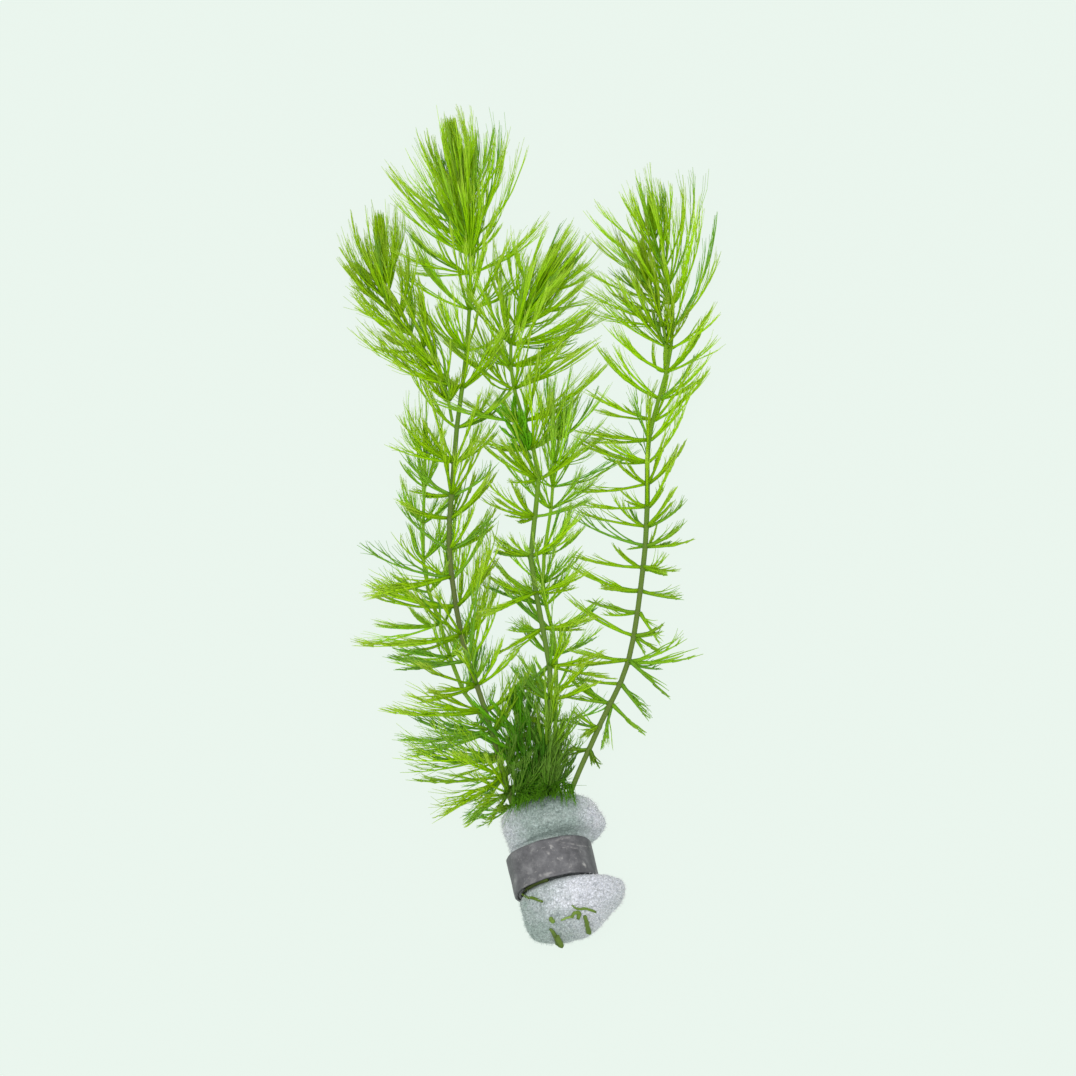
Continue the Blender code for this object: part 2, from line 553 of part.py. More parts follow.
def strip_outline(turn, outset):
    """The strip's inner face at an angle round the roll, moved out by outset, flat underneath."""
    half_height = STRIP_TOP / 2
    right = STRIP_OFFSET + (STRIP_HALF_WIDTH - STRIP_THICKNESS + outset) * math.cos(turn)
    z = half_height + (half_height - STRIP_THICKNESS + outset) * STRIP_ROUNDNESS * math.sin(turn)
    return right, min(max(z, STRIP_THICKNESS - outset), STRIP_TOP - STRIP_THICKNESS + outset)


def make_strip(finish):
    """A strip bent once round the roll, its outer end lying over its inner one on the left side."""
    mean_radius = (STRIP_HALF_WIDTH + STRIP_TOP / 2) / 2
    sweep = math.tau + STRIP_LAP / mean_radius
    points, faces = [], []
    for number in range(STRIP_STEPS + 1):
        passed = sweep * number / STRIP_STEPS
        lap = min(max(passed - math.tau + LAP_RISE, 0) / LAP_RISE, 1)
        lift = lap * (STRIP_THICKNESS + LAP_GAP)
        turn = math.radians(LAP_START) + passed
        for outset, along in ((0, -1), (STRIP_THICKNESS, -1), (STRIP_THICKNESS, 1), (0, 1)):
            right, z = strip_outline(turn, outset + lift)
            points.append(roll_point(along * STRIP_WIDTH / 2, right, z))
    for number in range(STRIP_STEPS):
        for k in range(4):
            after = (k + 1) % 4
            here, there = 4 * number, 4 * (number + 1)
            faces.append([here + k, here + after, there + after, there + k])
    last = 4 * STRIP_STEPS
    faces.append([3, 2, 1, 0])
    faces.append([last, last + 1, last + 2, last + 3])
    return make_object("lead_strip", points, faces, finish, smooth_angle=40)


def main():
    for old in list(bpy.data.objects):
        bpy.data.objects.remove(old, do_unlink=True)
    bright = material("bright_leaf_green", (0.22, 0.42, 0.03), 0.45)
    deep = material("deep_leaf_green", (0.12, 0.28, 0.03), 0.45)
    pale = material("pale_leaf_green", (0.32, 0.52, 0.10), 0.45)
    foam = material("white_foam", (0.68, 0.74, 0.72), 0.9)
    lead = material("grey_lead", (0.16, 0.155, 0.165), 0.55, 0.6)
    finishes = {"left_back_stem": pale, "middle_back_stem": pale, "short_stem": deep,
                "middle_shoot": deep}
    lines = {name: smooth_line(stem["line"]) for name, stem in STEMS.items()}
    settled = settle_leaves(lines)
    for name, stem in STEMS.items():
        make_stem(name, stem, lines[name], settled[name], finishes.get(name, bright))
    make_foam(foam)
    make_strip(lead)


main()
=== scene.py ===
import math

import bpy
import numpy as np
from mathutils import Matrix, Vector, noise
from mathutils.bvhtree import BVHTree


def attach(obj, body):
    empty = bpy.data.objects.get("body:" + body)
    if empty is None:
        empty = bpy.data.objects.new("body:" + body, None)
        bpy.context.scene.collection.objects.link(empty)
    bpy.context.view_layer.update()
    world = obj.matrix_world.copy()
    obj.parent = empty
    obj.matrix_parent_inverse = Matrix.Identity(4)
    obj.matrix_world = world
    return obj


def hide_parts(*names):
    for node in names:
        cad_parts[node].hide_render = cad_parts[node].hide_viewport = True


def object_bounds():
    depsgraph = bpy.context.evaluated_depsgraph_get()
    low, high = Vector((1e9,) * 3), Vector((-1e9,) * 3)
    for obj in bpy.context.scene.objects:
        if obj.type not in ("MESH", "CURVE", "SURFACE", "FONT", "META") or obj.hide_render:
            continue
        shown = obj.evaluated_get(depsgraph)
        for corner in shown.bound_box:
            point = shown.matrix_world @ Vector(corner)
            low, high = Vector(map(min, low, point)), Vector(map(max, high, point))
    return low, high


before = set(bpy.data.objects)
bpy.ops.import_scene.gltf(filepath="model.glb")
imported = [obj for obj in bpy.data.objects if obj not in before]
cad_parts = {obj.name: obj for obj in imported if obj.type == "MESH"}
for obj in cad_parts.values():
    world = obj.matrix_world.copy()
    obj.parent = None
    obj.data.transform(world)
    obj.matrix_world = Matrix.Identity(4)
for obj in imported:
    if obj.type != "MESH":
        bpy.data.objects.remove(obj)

# A bunch of hornwort lying on a pale surface, seen from above. Lengths are in millimetres.
mm = 0.001
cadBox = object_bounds()
boxLow, boxHigh = np.array(cadBox) / mm
print("stage: frame loaded")


# Shared helpers come first, then one block for each kind of piece
def unit(vectors):
    return vectors / np.linalg.norm(vectors, axis=-1, keepdims=True)


def limited(share):
    return min(max(share, 0), 1)


def smoothLine(points, parts=12):
    # close points on a smooth curve through the given ones, each stretch cut into so many parts
    points = np.array(points, float)
    padded = np.vstack([2 * points[0] - points[1], points, 2 * points[-1] - points[-2]])
    samples = []
    for a, b, c, d in zip(padded, padded[1:], padded[2:], padded[3:]):
        for t in np.linspace(0, 1, parts, endpoint=False):
            curve = 2 * b + (c - a) * t + (2 * a - 5 * b + 4 * c - d) * t**2
            samples.append(0.5 * (curve + (3 * b - a - 3 * c + d) * t**3))
    return np.array(samples + [points[-1]])


def placeOn(line, y):
    # point of a stem's line at y, its direction and the two axes across it
    behind, point, ahead = (
        np.array([np.interp(at, line[:, 1], line[:, k]) for k in range(3)]) for at in (y - 1, y, y + 1))
    along = unit(ahead - behind)
    side = unit(np.cross(along, (0, 0, 1)))
    return point, along, side, np.cross(along, side)


def turned(vectors, axis, degrees):
    # vectors turned about a unit axis
    turn = math.radians(degrees)
    sideways = np.cross(axis, vectors) * math.sin(turn)
    return vectors * math.cos(turn) + sideways + axis * (vectors @ axis)[:, None] * (1 - math.cos(turn))


def quadsOf(*corners):
    # four-sided faces from four arrays of point numbers
    return np.stack(corners, -1).reshape(-1, 4)


def addMesh(name, points, faces, material, numbers):
    # one object from points in millimetres; numbers are kept at each point, for its material to use
    mesh = bpy.data.meshes.new(name)
    mesh.from_pydata((points * mm).tolist(), [], faces)
    mesh.shade_smooth()
    for label, values in numbers.items():
        layer = mesh.attributes.new(label, "FLOAT", "POINT")
        layer.data.foreach_set("value", np.asarray(values, np.float32).reshape(-1))
    mesh.materials.append(material)
    made = bpy.data.objects.new(name, mesh)
    bpy.context.scene.collection.objects.link(made)
    return made


class MeshMaker:
    # gathers closed tubes as arrays, then makes one object of them. On leaves, reach goes from the stem to
    # the leaf's tip, shade makes it lighter or darker, and tint takes it to a cooler green.
    steep = 0.8  # a tube that rises more than this is set out from X

    def __init__(self):
        self.points, self.quads, self.triangles = [], [], []
        self.numbers = {"reach": [], "shade": [], "tint": []}
        self.count = 0

    def addTubes(self, lines, radii, sides, reach, shade, tint=0.0):
        # lines (n, k, 3), radii (n, k), reach (n, k): n tubes of k rings each
        n, k, _ = lines.shape
        tangent = np.empty_like(lines)
        tangent[:, 1:-1] = lines[:, 2:] - lines[:, :-2]
        tangent[:, 0] = lines[:, 1] - lines[:, 0]
        tangent[:, -1] = lines[:, -1] - lines[:, -2]
        tangent = unit(tangent)
        whole = unit(lines[:, -1] - lines[:, 0])
        helper = np.where(np.abs(whole[:, 2:3]) < self.steep, (0.0, 0.0, 1.0), (1.0, 0.0, 0.0))
        across = unit(np.cross(tangent, helper[:, None]))
        upward = np.cross(across, tangent)
        turns = (np.arange(sides) * math.tau / sides)[:, None]
        ring = across[:, :, None] * np.cos(turns) + upward[:, :, None] * np.sin(turns)
        points = lines[:, :, None] + ring * radii[:, :, None, None]
        index = self.count + np.arange(n * k * sides).reshape(n, k, sides)
        after = np.roll(index, -1, axis=2)
        self.quads.append(quadsOf(index[:, :-1], index[:, 1:], after[:, 1:], after[:, :-1]))
        foot, end = index[:, 0], index[:, -1]
        for j in range(1, sides - 1):
            self.triangles.append(np.stack([foot[:, 0], foot[:, j], foot[:, j + 1]], -1))
            self.triangles.append(np.stack([end[:, 0], end[:, j + 1], end[:, j]], -1))
        self.points.append(points.reshape(-1, 3))
        self.numbers["reach"].append(np.repeat(reach, sides, axis=1).reshape(-1))
        for label, value in (("shade", shade), ("tint", tint)):
            self.numbers[label].append(np.repeat(np.broadcast_to(value, n), k * sides))
        self.count += n * k * sides

    def build(self, name, material):
        faces = np.vstack(self.quads).tolist() + np.vstack(self.triangles).tolist()
        numbers = {label: np.concatenate(values) for label, values in self.numbers.items()}
        return addMesh(name, np.vstack(self.points), faces, material, numbers)


def newMaterial(name):
    made = bpy.data.materials.new(name)
    made.use_nodes = True
    return made, made.node_tree.nodes, made.node_tree.links


def addNode(nodes, kind, values=None, **settings):
    # a shader node with its settings and the values of its sockets
    node = nodes.new("ShaderNode" + kind)
    for label, setting in settings.items():
        setattr(node, label, setting)
    for socket, value in (values or {}).items():
        node.inputs[socket].default_value = value
    return node


def joinNodes(links, *rows):
    # each row is a node, its output, the node it goes to and the input there
    for source, output, target, socket in rows:
        links.new(source.outputs[output], target.inputs[socket])


def addRamp(nodes, stops):
    # (place, colour) pairs in order; a new ramp already has its first and last stop
    node = nodes.new("ShaderNodeValToRGB")
    elements = node.color_ramp.elements
    for place, colour in stops[1:-1]:
        elements.new(place).color = (*colour, 1)
    for element, (place, colour) in zip(elements, stops):
        element.position = place
        element.color = (*colour, 1)
    return node


# The leafy stems. Lines and radii are those of the solids, and each leaf grows on a solid leaf. bud is the
# growing tip's length; extra and young are shares of the added leaves; worn is how much the lowest leaves
# have lost; green is how green the stem's browner middle is; dim is how much darker its leaves are.
stemRadius, thinStemRadius, shootRadius = 0.75, 0.6, 0.5
stems = {
    "left_stem": {
        "line": [(2.3, -20.9, 10.2), (0.8, -18.3, 13), (-0.6, -9, 11.9), (-2.4, -0.5, 11.6),
                 (-9.8, 15, 12), (-17.7, 43.5, 12), (-22.1, 57, 12), (-25.2, 72, 11.5),
                 (-27, 90, 11), (-26, 108, 11), (-25, 122, 10.5), (-22.6, 143, 10),
                 (-21.6, 166, 9.5), (-23.4, 184.5, 9.5), (-26.8, 208.7, 9.5)],
        "radius": stemRadius, "bud": 22, "young": 1, "extra": 1, "worn": 0, "green": 0.0, "dim": 0,
        "seed": 101, "tone": "bright"},
    "left_shoot": {
        "line": [(-26.2, 123.2, 11.0), (-28.9, 135.6, 11), (-35.1, 145.6, 10.5),
                 (-41.4, 152.6, 10), (-44.2, 160, 9.5), (-44.7, 169.5, 9.5), (-45.5, 182.2, 9.5)],
        "radius": shootRadius, "bud": 19, "young": 0.7, "extra": 0.8, "worn": 0, "green": 0.1, "dim": 1,
        "seed": 102, "tone": "bright"},
    "left_back_stem": {
        "line": [(1.9, -17, 8.5), (-2.4, -0.5, 8.9), (-7, 16.5, 8.5), (-14, 36, 7),
                 (-23.7, 51.4, 6.2), (-28.9, 67.5, 6), (-33, 81, 6), (-33.8, 92, 6),
                 (-33.3, 115, 6), (-33.3, 125, 6)],
        "radius": thinStemRadius, "bud": 7, "young": 0.2, "extra": 1, "worn": 0, "green": 0.1, "dim": 0,
        "seed": 103, "tone": "pale"},
    "short_stem": {
        "line": [(5.5, -17, 9.5), (0, 0, 8.3), (-3.6, 16.5, 9.2), (-6, 25, 11), (-8.5, 36, 12.6),
                 (-9.5, 47, 13)],
        "radius": thinStemRadius, "bud": 5, "young": 0, "extra": 2, "worn": 0, "green": 0.1, "dim": 0,
        "seed": 104, "tone": "deep"},
    "middle_stem": {
        "line": [(4.3, -17, 13.3), (0, 0, 12.3), (-2.1, 17.5, 13.6), (-0.8, 45, 14), (-1, 55, 14),
                 (-4.4, 75, 13), (-5.7, 86, 12.5), (-3.8, 106, 12), (-5.2, 115.5, 12),
                 (-10.1, 132, 12), (-10.9, 144.5, 12), (-8, 152.5, 12), (-3, 161, 11.5),
                 (0.8, 173, 11)],
        "radius": stemRadius, "bud": 14, "young": 0.8, "extra": 1.3, "worn": 0, "green": 0.08, "dim": 0,
        "seed": 105, "tone": "bright"},
    "middle_shoot": {
        "line": [(-5.6, 112, 13.4), (-8, 116, 15), (-9.9, 121.5, 15.8), (-10.2, 129, 16)],
        "radius": shootRadius, "bud": 7, "young": 0, "extra": 1, "worn": 0, "green": 0.1, "dim": 0,
        "seed": 106, "tone": "deep"},
    "middle_back_stem": {
        "line": [(7.6, -17, 8), (2.4, 0.5, 8.9), (0.2, 17, 8), (0.8, 50, 6.4), (0.4, 64, 6),
                 (-2.3, 77, 6), (-2.3, 88, 6), (-0.5, 101, 6), (0.5, 113.5, 6), (3.4, 129, 6)],
        "radius": thinStemRadius, "bud": 8, "young": 0.2, "extra": 1, "worn": 0, "green": 0.1, "dim": 0,
        "seed": 107, "tone": "pale"},
    "right_stem": {
        "line": [(8.4, -17, 12.1), (2.4, 0.5, 11.6), (3.5, 17, 12), (11.7, 38, 12),
                 (19.5, 57, 11), (23.4, 83, 10.5), (24.5, 100, 10), (25, 118.5, 10),
                 (29.6, 137.5, 10), (31, 147, 10), (31.2, 156.5, 10), (28.9, 166.6, 9.5),
                 (26.5, 175.5, 9.5), (25.4, 187, 9.5)],
        "radius": stemRadius, "bud": 10, "young": 0.1, "extra": 0.4, "worn": 0.45, "green": 0.04, "dim": 0,
        "seed": 108, "tone": "bright"},
    "right_shoot": {
        "line": [(29.5, 139.2, 11.6), (29.4, 144, 13.4), (28.4, 150, 14.6), (26.3, 156.5, 14.8),
                 (24.2, 165, 14.2), (22.6, 173, 13.6)],
        "radius": shootRadius, "bud": 12, "young": 0.2, "extra": 0.2, "worn": 0, "green": 0.1, "dim": 2.5,
        "seed": 109, "tone": "bright"},
}
stemShape = {
    "taperStart": 0.55, "tipRadius": 0.4,
    "bark": 0.9,  # share of the solid's radius, between whorls
    "sides": 10, "footRings": (0.3, 1.2), "ringSpacing": 1.6, "whorlRings": (-0.9, -0.45, 0, 0.45, 0.9),
    "whorlClear": 1.0, "swell": 0.22, "swellWidth": 0.55,  # how much thicker a stem is at each whorl
    "cutRadius": 0.8, "tipShare": 0.5, "stemShade": -1.2,
    "whorlRoom": 1.2,  # a leaf that is this much further up belongs to the next whorl
    "whorlBand": 0.8,  # the growing tip starts at most this far above the last whorl
    "lowest": 0.12,  # no leaf's middle line lies lower than this
}

# How leaves divide; the six values of a row go from a stem's lowest whorl to its highest
stations = (0.0, 0.12, 0.33, 0.55, 0.85, 1.0)
comb = {
    "forks": (7, 6, 6, 6, 6, 5),  # arms along each leaf
    "lastFork": (0.8, 0.8, 0.78, 0.74, 0.62, 0.55),  # where the last one leaves, as a share of the length
    "open": (12, 11, 12, 10, 6, 4),  # degrees between an arm and its leaf, where it leaves
    "close": (30, 26, 26, 20, 9, 5),  # and at its tip
    "sway": (50, 50, 60, 90, 140, 180),  # how far arms turn out of the comb
    "axisRadius": (0.38, 0.46, 0.48, 0.44, 0.34, 0.28),
    "armRadius": (0.24, 0.26, 0.29, 0.28, 0.22, 0.18),
    "fingerRadius": (0.18, 0.17, 0.18, 0.16, 0.13, 0.11),
    "thinning": (1.5, 1.5, 1.5, 1.5, 1.5, 1.5),  # arms thin out fast at first
    "wave": (0.15, 0.1, 0.06, 0.05, 0.05, 0.04),  # how unevenly arms run
    "clumped": (0.15, 0.4, 0.5, 0.5, 0.4, 0.35),  # share of the leaves whose arms cling together
}
clump = {"open": 0.4, "close": 0.25, "sway": 0.5, "armRadius": 1.3, "fingerRadius": 1.3, "thinning": 0.6}
strands = {
    "axisSteps": 8, "armSteps": 5, "fingerSteps": 3, "axisSides": 4, "sides": 3,
    "tipRadius": 0.045, "rootReach": 0.15,  # nearer the stem, reach is the stem's own colour
    "firstFork": 0.1, "forkShift": 0.03,
    "armLength": (0.55, 1.05), "armOpen": (0.5, 1.3), "closing": (0, 1.8),
    "fingers": ((0.25, 0.7), (0.5, 0.5)),  # where an arm forks, and how long its branch is
    "fingerShift": 0.1, "fingerRise": 0.5, "fingerLength": (0.8, 1.1), "fingerOpen": (0.5, 1.0),
}
# Leaves beyond those of the solids: in each whorl, and close round the stem near its top
added = {
    "extra": (13, 3, 5, 5, 7, 7), "extraLength": (0.7, 0.95), "extraTilt": 14, "extraSize": 0.9,
    "extraTurn": (14, 34), "lowTurn": 35,  # degrees round the stem, and up to how many more near the foam
    "young": (0, 0, 0, 0, 12, 18), "youngFrom": 0.87, "youngLength": (13, 24), "youngLean": (4, 22),
    "youngBend": 1.5, "youngSize": 0.85,
    "youngPast": 0.5,  # how far past the solids a young leaf may reach
}


def leafSolids(node):
    # foot, bend and tip of each leaf of a solid stem: a tip, four corners round it, four at its foot
    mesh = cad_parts[node].data
    points = np.empty(len(mesh.vertices) * 3)
    mesh.vertices.foreach_get("co", points)
    spots, same = np.unique(np.round(points.reshape(-1, 3) / mm, 3), axis=0, return_inverse=True)
    same = same.reshape(-1)
    near = [set() for _ in spots]
    for face in mesh.polygons:
        corners = [int(same[v]) for v in face.vertices]
        for a, b in zip(corners, corners[1:] + corners[:1]):
            near[a].add(b)
            near[b].add(a)
    leaves = []
    for tip, ring in enumerate(near):
        if len(ring) == 4 and all(len(near[k] & ring) == 2 for k in ring):
            foot = set().union(*(near[k] for k in ring)) - ring - {tip}
            if len(foot) == 4:
                corners = spots[sorted(foot)], spots[sorted(ring)]
                leaves.append(np.array([corners[0].mean(0), corners[1].mean(0), spots[tip]]))
    return leaves


def whorlsOf(node):
    # a stem's leaves in groups, from its lowest whorl up, each from left to right
    whorls = []
    for leaf in sorted(leafSolids(node), key=lambda leaf: leaf[0][1]):
        if not whorls or leaf[0][1] - whorls[-1][-1][0][1] > stemShape["whorlRoom"]:
            whorls.append([])
        whorls[-1].append(leaf)
    return [sorted(whorl, key=lambda leaf: (leaf[0][0], leaf[0][2])) for whorl in whorls]


def leafPath(leaf):
    # smooth middle line through a leaf's foot, bend and tip, on or above the surface it lies on
    foot, bend, tip = leaf
    t = np.linspace(0, 1, strands["axisSteps"] + 1)[:, None]
    control = 2 * bend - (foot + tip) / 2
    path = (1 - t)**2 * foot + 2 * t * (1 - t) * control + t**2 * tip
    path[:, 2] = np.clip(path[:, 2], stemShape["lowest"], boxHigh[2])
    return path


def turnedLeaf(leaf, centre, axis, degrees, upright, tilt, share):
    # a leaf turned round its stem, tilted up or down the stem and shortened
    points = turned(leaf - centre, axis, degrees)
    return centre + points[:1] + turned(points - points[:1], upright, tilt) * share


def headingAt(lines, spots):
    # points and unit headings of lines (n, k, 3) at fractional ring numbers spots (n)
    low = np.clip(np.floor(spots).astype(int), 0, lines.shape[1] - 2)
    rows = np.arange(len(lines))
    a, b = lines[rows, low], lines[rows, low + 1]
    return a + (b - a) * (spots - low)[:, None], unit(b - a)


def growArms(parents, spots, toward, lengths, opens, closes, steps, wave, random):
    # (n, steps + 1, 3): arms that leave parents (n, k, 3) at shares spots and run along beside them
    rings = parents.shape[1] - 1
    point, heading = headingAt(parents, spots * rings)
    leans = unit(toward - heading * (heading * toward).sum(1)[:, None])
    points = [point]
    for number in range(steps):
        t = (number + 0.5) / steps
        heading = headingAt(parents, (spots + (1 - spots) * t) * rings)[1]
        angle = np.radians(opens + (closes - opens) * t)[:, None]
        drift = random.normal(0, wave, (len(parents), 3))
        moved = points[-1] + unit(heading + leans * np.tan(angle) + drift) * (lengths / steps)[:, None]
        moved[:, 2] = np.clip(moved[:, 2], stemShape["lowest"], boxHigh[2])
        points.append(moved)
    return np.stack(points, 1)


def sprout(maker, kind, parents, left, starts, toward, lengths, here, look, random):
    # arms on a leaf's axis or fingers on its arms, which thin out to their tips; left is the share of the
    # leaf past each parent's foot
    size, shade, tint = look
    steps, tipRadius = strands[kind + "Steps"], strands["tipRadius"]
    opens = here["open"] * random.uniform(*strands[kind + "Open"], len(starts))
    closes = here["close"] * random.uniform(*strands["closing"], len(starts))
    lines = growArms(parents, starts, toward, lengths, opens, closes, steps, here["wave"], random)
    toGo = 1 - np.linspace(0, 1, steps + 1)
    radii = (tipRadius + (here[kind + "Radius"] - tipRadius) * toGo ** here["thinning"]) * size
    reach = 1 - (1 - strands["rootReach"]) * left * (1 - starts[:, None]) * toGo
    maker.addTubes(lines, np.repeat(radii[None], len(lines), 0), strands["sides"], reach, shade, tint)
    return lines


def combLeaf(maker, axis, along, height, random, look, fullness):
    # a leaf's axis with arms mostly on the side of the stem's tip, each forked twice more
    here = {key: np.interp(height, stations, row) for key, row in comb.items()}
    forks = max(int(round(here["forks"] * fullness)), 1)
    if random.random() < here["clumped"]:
        for key, share in clump.items():
            here[key] *= share
    size, shade, tint = look
    toGo = 1 - np.linspace(0, 1, len(axis))
    radii = (strands["tipRadius"] + (here["axisRadius"] - strands["tipRadius"]) * toGo) * size
    reach = 1 - (1 - strands["rootReach"]) * toGo
    maker.addTubes(axis[None], radii[None], strands["axisSides"], reach[None], shade, tint)
    spots = np.linspace(strands["firstFork"], here["lastFork"], forks)
    spots += random.uniform(-1, 1, forks) * strands["forkShift"]
    heading = unit(axis[-1] - axis[0])
    up = unit(along - heading * (heading @ along) + 1e-6)
    side = np.cross(heading, up)
    sway = np.radians(random.uniform(-1, 1, forks) * here["sway"])[:, None]
    toward = up * np.cos(sway) + side * np.sin(sway)
    length = np.linalg.norm(np.diff(axis, axis=0), axis=1).sum()
    lengths = length * (1 - spots) * random.uniform(*strands["armLength"], forks)
    axes = np.repeat(axis[None], forks, 0)
    arms = sprout(maker, "arm", axes, 1, spots, toward, lengths, here, look, random)
    for where, share in strands["fingers"][:int(len(strands["fingers"]) * fullness)]:
        starts = where + random.uniform(-1, 1, forks) * strands["fingerShift"]
        turn = random.uniform(0, math.tau, forks)[:, None]
        outward = up * (np.cos(turn) + strands["fingerRise"]) + side * np.sin(turn)
        shorter = lengths * share * random.uniform(*strands["fingerLength"], forks)
        sprout(maker, "finger", arms, 1 - spots[:, None], starts, outward, shorter, here, look, random)


def stemTube(maker, stem, line, levels):
    # the stem itself, a little thicker at each whorl
    bottom, top = line[0][1], line[-1][1]
    first, second = stemShape["footRings"]
    lowWhorl = levels[0] - stemShape["whorlClear"]
    ys = {bottom, bottom + first, *np.arange(bottom + second, lowWhorl, stemShape["ringSpacing"])}
    for y in levels:
        ys.update(y + ring for ring in stemShape["whorlRings"])
    ys = np.array(sorted(ys) + [top - stem["bud"] * stemShape["tipShare"]])
    points = np.array([placeOn(line, y)[0] for y in ys])
    nearest = np.abs(levels[:, None] - ys).min(0)
    swell = 1 + stemShape["swell"] * np.exp(-(nearest / stemShape["swellWidth"]) ** 2)
    tapered = (stemShape["taperStart"] * levels[-1], levels[-1])
    radii = np.interp(ys, tapered, (stem["radius"], stemShape["tipRadius"])) * swell * stemShape["bark"]
    radii[0] *= stemShape["cutRadius"]
    lower = max(stem["green"], shading["greenFoot"])
    green = np.interp(ys / top, shading["greenStem"],
                      (lower, stem["green"], stem["green"], shading["greenTop"]))
    maker.addTubes(points[None], radii[None], stemShape["sides"], green[None], stemShape["stemShade"])


# The growing tip at each stem's end. Places along it are shares of its length
growing = {
    "radius": 1.5, "fullLength": 14, "strands": 60, "strandsPerMm": 16,
    "begin": (-0.05, 0.72), "length": (0.24, 0.5), "end": (0.92, 1.03), "bow": (0.1, 1.0),
    "strandRadii": (0.13, 0.15, 0.14, 0.12, 0.09, 0.05),
    "widens": (-0.08, 0.12), "narrowing": 0.15,  # it is widest above its foot, and blunt
    "pressed": 0.45, "bowedBy": 0.35,  # strands start pressed to the stem
    "reach": (0.2, 0.8), "shade": (-2.0, -0.5),
}


def growingTip(maker, stem, line, highest, random):
    # a dense spindle of young leaves pressed together round the stem's end, frayed at its blunt top
    top = line[-1][1]
    foot = min(top - stem["bud"], highest + stemShape["whorlBand"])
    fullness = min(stem["bud"] / growing["fullLength"], 1)
    count = int((growing["strands"] + growing["strandsPerMm"] * (top - foot)) * fullness)
    narrow, wide = growing["widens"]
    rings = np.linspace(0, 1, len(growing["strandRadii"]))
    lines = []
    for number in range(count):
        begin = random.uniform(*growing["begin"])
        end = min(begin + random.uniform(*growing["length"]), random.uniform(*growing["end"]))
        turn = random.uniform(0, math.tau)
        bow = growing["radius"] * fullness * random.uniform(*growing["bow"]) ** 0.5
        strand = []
        for t in rings:
            share = begin + (end - begin) * t
            y = foot + (top - foot) * share
            point, along, side, down = placeOn(line, min(y, top))
            width = min((share - narrow) / (wide - narrow), 1.0) ** 0.6
            width *= 1 - growing["narrowing"] * max(share, 0) ** 1.5
            bowed = growing["pressed"] + (1 - growing["pressed"]) * min(t / growing["bowedBy"], 1)
            spot = point + (side * math.cos(turn) + down * math.sin(turn)) * bow * width * bowed
            strand.append(spot + along * max(y - top, 0))
        lines.append(strand)
    radii = np.repeat([growing["strandRadii"]], count, 0)
    reach = np.repeat([np.linspace(*growing["reach"], len(rings))], count, 0)
    shade = random.uniform(*growing["shade"], count)
    maker.addTubes(np.array(lines), radii, strands["sides"], reach, shade)


def youngLeaf(point, along, radial, random):
    # a leaf that stands close round the stem: it leaves it slowly and ends nearly along it
    length = min(random.uniform(*added["youngLength"]), boxHigh[1] + added["youngPast"] - point[1])
    lean = math.radians(random.uniform(*added["youngLean"]))
    bent = lean * added["youngBend"]
    tip = point + (along * math.cos(lean) + radial * math.sin(lean)) * length
    bend = point + (along * math.cos(bent) + radial * math.sin(bent)) * length / 2
    return np.array([point, bend, tip])


def leavesAt(stem, whorl, place, height, lowness, random):
    # the solid's own leaves of a whorl and the added ones, each with its size
    centre, along, side, down = place
    grown = [(leaf, 1.0) for leaf in whorl]
    extra = np.interp(height, stations, added["extra"]) * stem["extra"]
    for number in range(int(round(extra))):
        source = whorl[random.integers(len(whorl))]
        degrees = random.uniform(*added["extraTurn"]) + random.uniform(0, added["lowTurn"]) * lowness
        degrees *= random.choice((-1, 1))
        share = random.uniform(*added["extraLength"])
        tilt = random.uniform(-1, 1) * added["extraTilt"]
        leaf = turnedLeaf(source, centre, along, degrees, down, tilt, share)
        if boxLow[0] < leaf[2][0] < boxHigh[0]:
            grown.append((leaf, added["extraSize"]))
    young = np.interp(height, stations, added["young"]) * stem["young"] * (height > added["youngFrom"])
    for number in range(int(round(young))):
        turn = random.uniform(0, math.tau)
        radial = side * math.cos(turn) + down * math.sin(turn)
        leaf = youngLeaf(centre + radial * stemShape["tipRadius"], along, radial, random)
        grown.append((leaf, added["youngSize"]))
    return grown


# The leaves' look: colours of the stem, the leaf's root, its middle and its tip, at these places of reach
reachStops = (0.0, 0.1, 0.16, 0.6, 1.0)
leafFinish = {
    "roughness": 0.5, "gloss": 0.1, "level": 0.87,
    "perShade": 0.07, "mottle": 0.26, "mottleScale": 260,  # how shade and mottling change the brightness
}
leafLooks = {
    "bright": {
        "size": 1.0, "through": 0.58, "tint": (0.26, 0.60, 0.10),
        "skin": ((0.25, 0.31, 0.10), (0.25, 0.42, 0.07), (0.36, 0.68, 0.008), (0.46, 0.80, 0.008),
                 (0.57, 0.86, 0.10)),
        "glow": ((0.33, 0.41, 0.13), (0.35, 0.55, 0.10), (0.66, 0.86, 0.02), (0.83, 0.97, 0.04),
                 (0.90, 0.98, 0.32))},
    "pale": {
        "size": 0.8, "through": 0.68, "tint": (0.30, 0.66, 0.12),
        "skin": ((0.36, 0.52, 0.10), (0.36, 0.52, 0.10), (0.42, 0.74, 0.03), (0.51, 0.88, 0.05),
                 (0.60, 0.92, 0.18)),
        "glow": ((0.54, 0.76, 0.16), (0.54, 0.76, 0.16), (0.68, 0.90, 0.06), (0.80, 0.99, 0.10),
                 (0.88, 0.99, 0.36))},
    "deep": {
        "size": 1.0, "through": 0.45, "tint": (0.07, 0.30, 0.02),
        "skin": ((0.25, 0.31, 0.10), (0.22, 0.36, 0.07), (0.14, 0.44, 0.006), (0.19, 0.58, 0.006),
                 (0.28, 0.68, 0.03)),
        "glow": ((0.33, 0.41, 0.13), (0.31, 0.50, 0.10), (0.29, 0.66, 0.008), (0.40, 0.84, 0.01),
                 (0.54, 0.92, 0.08))},
}
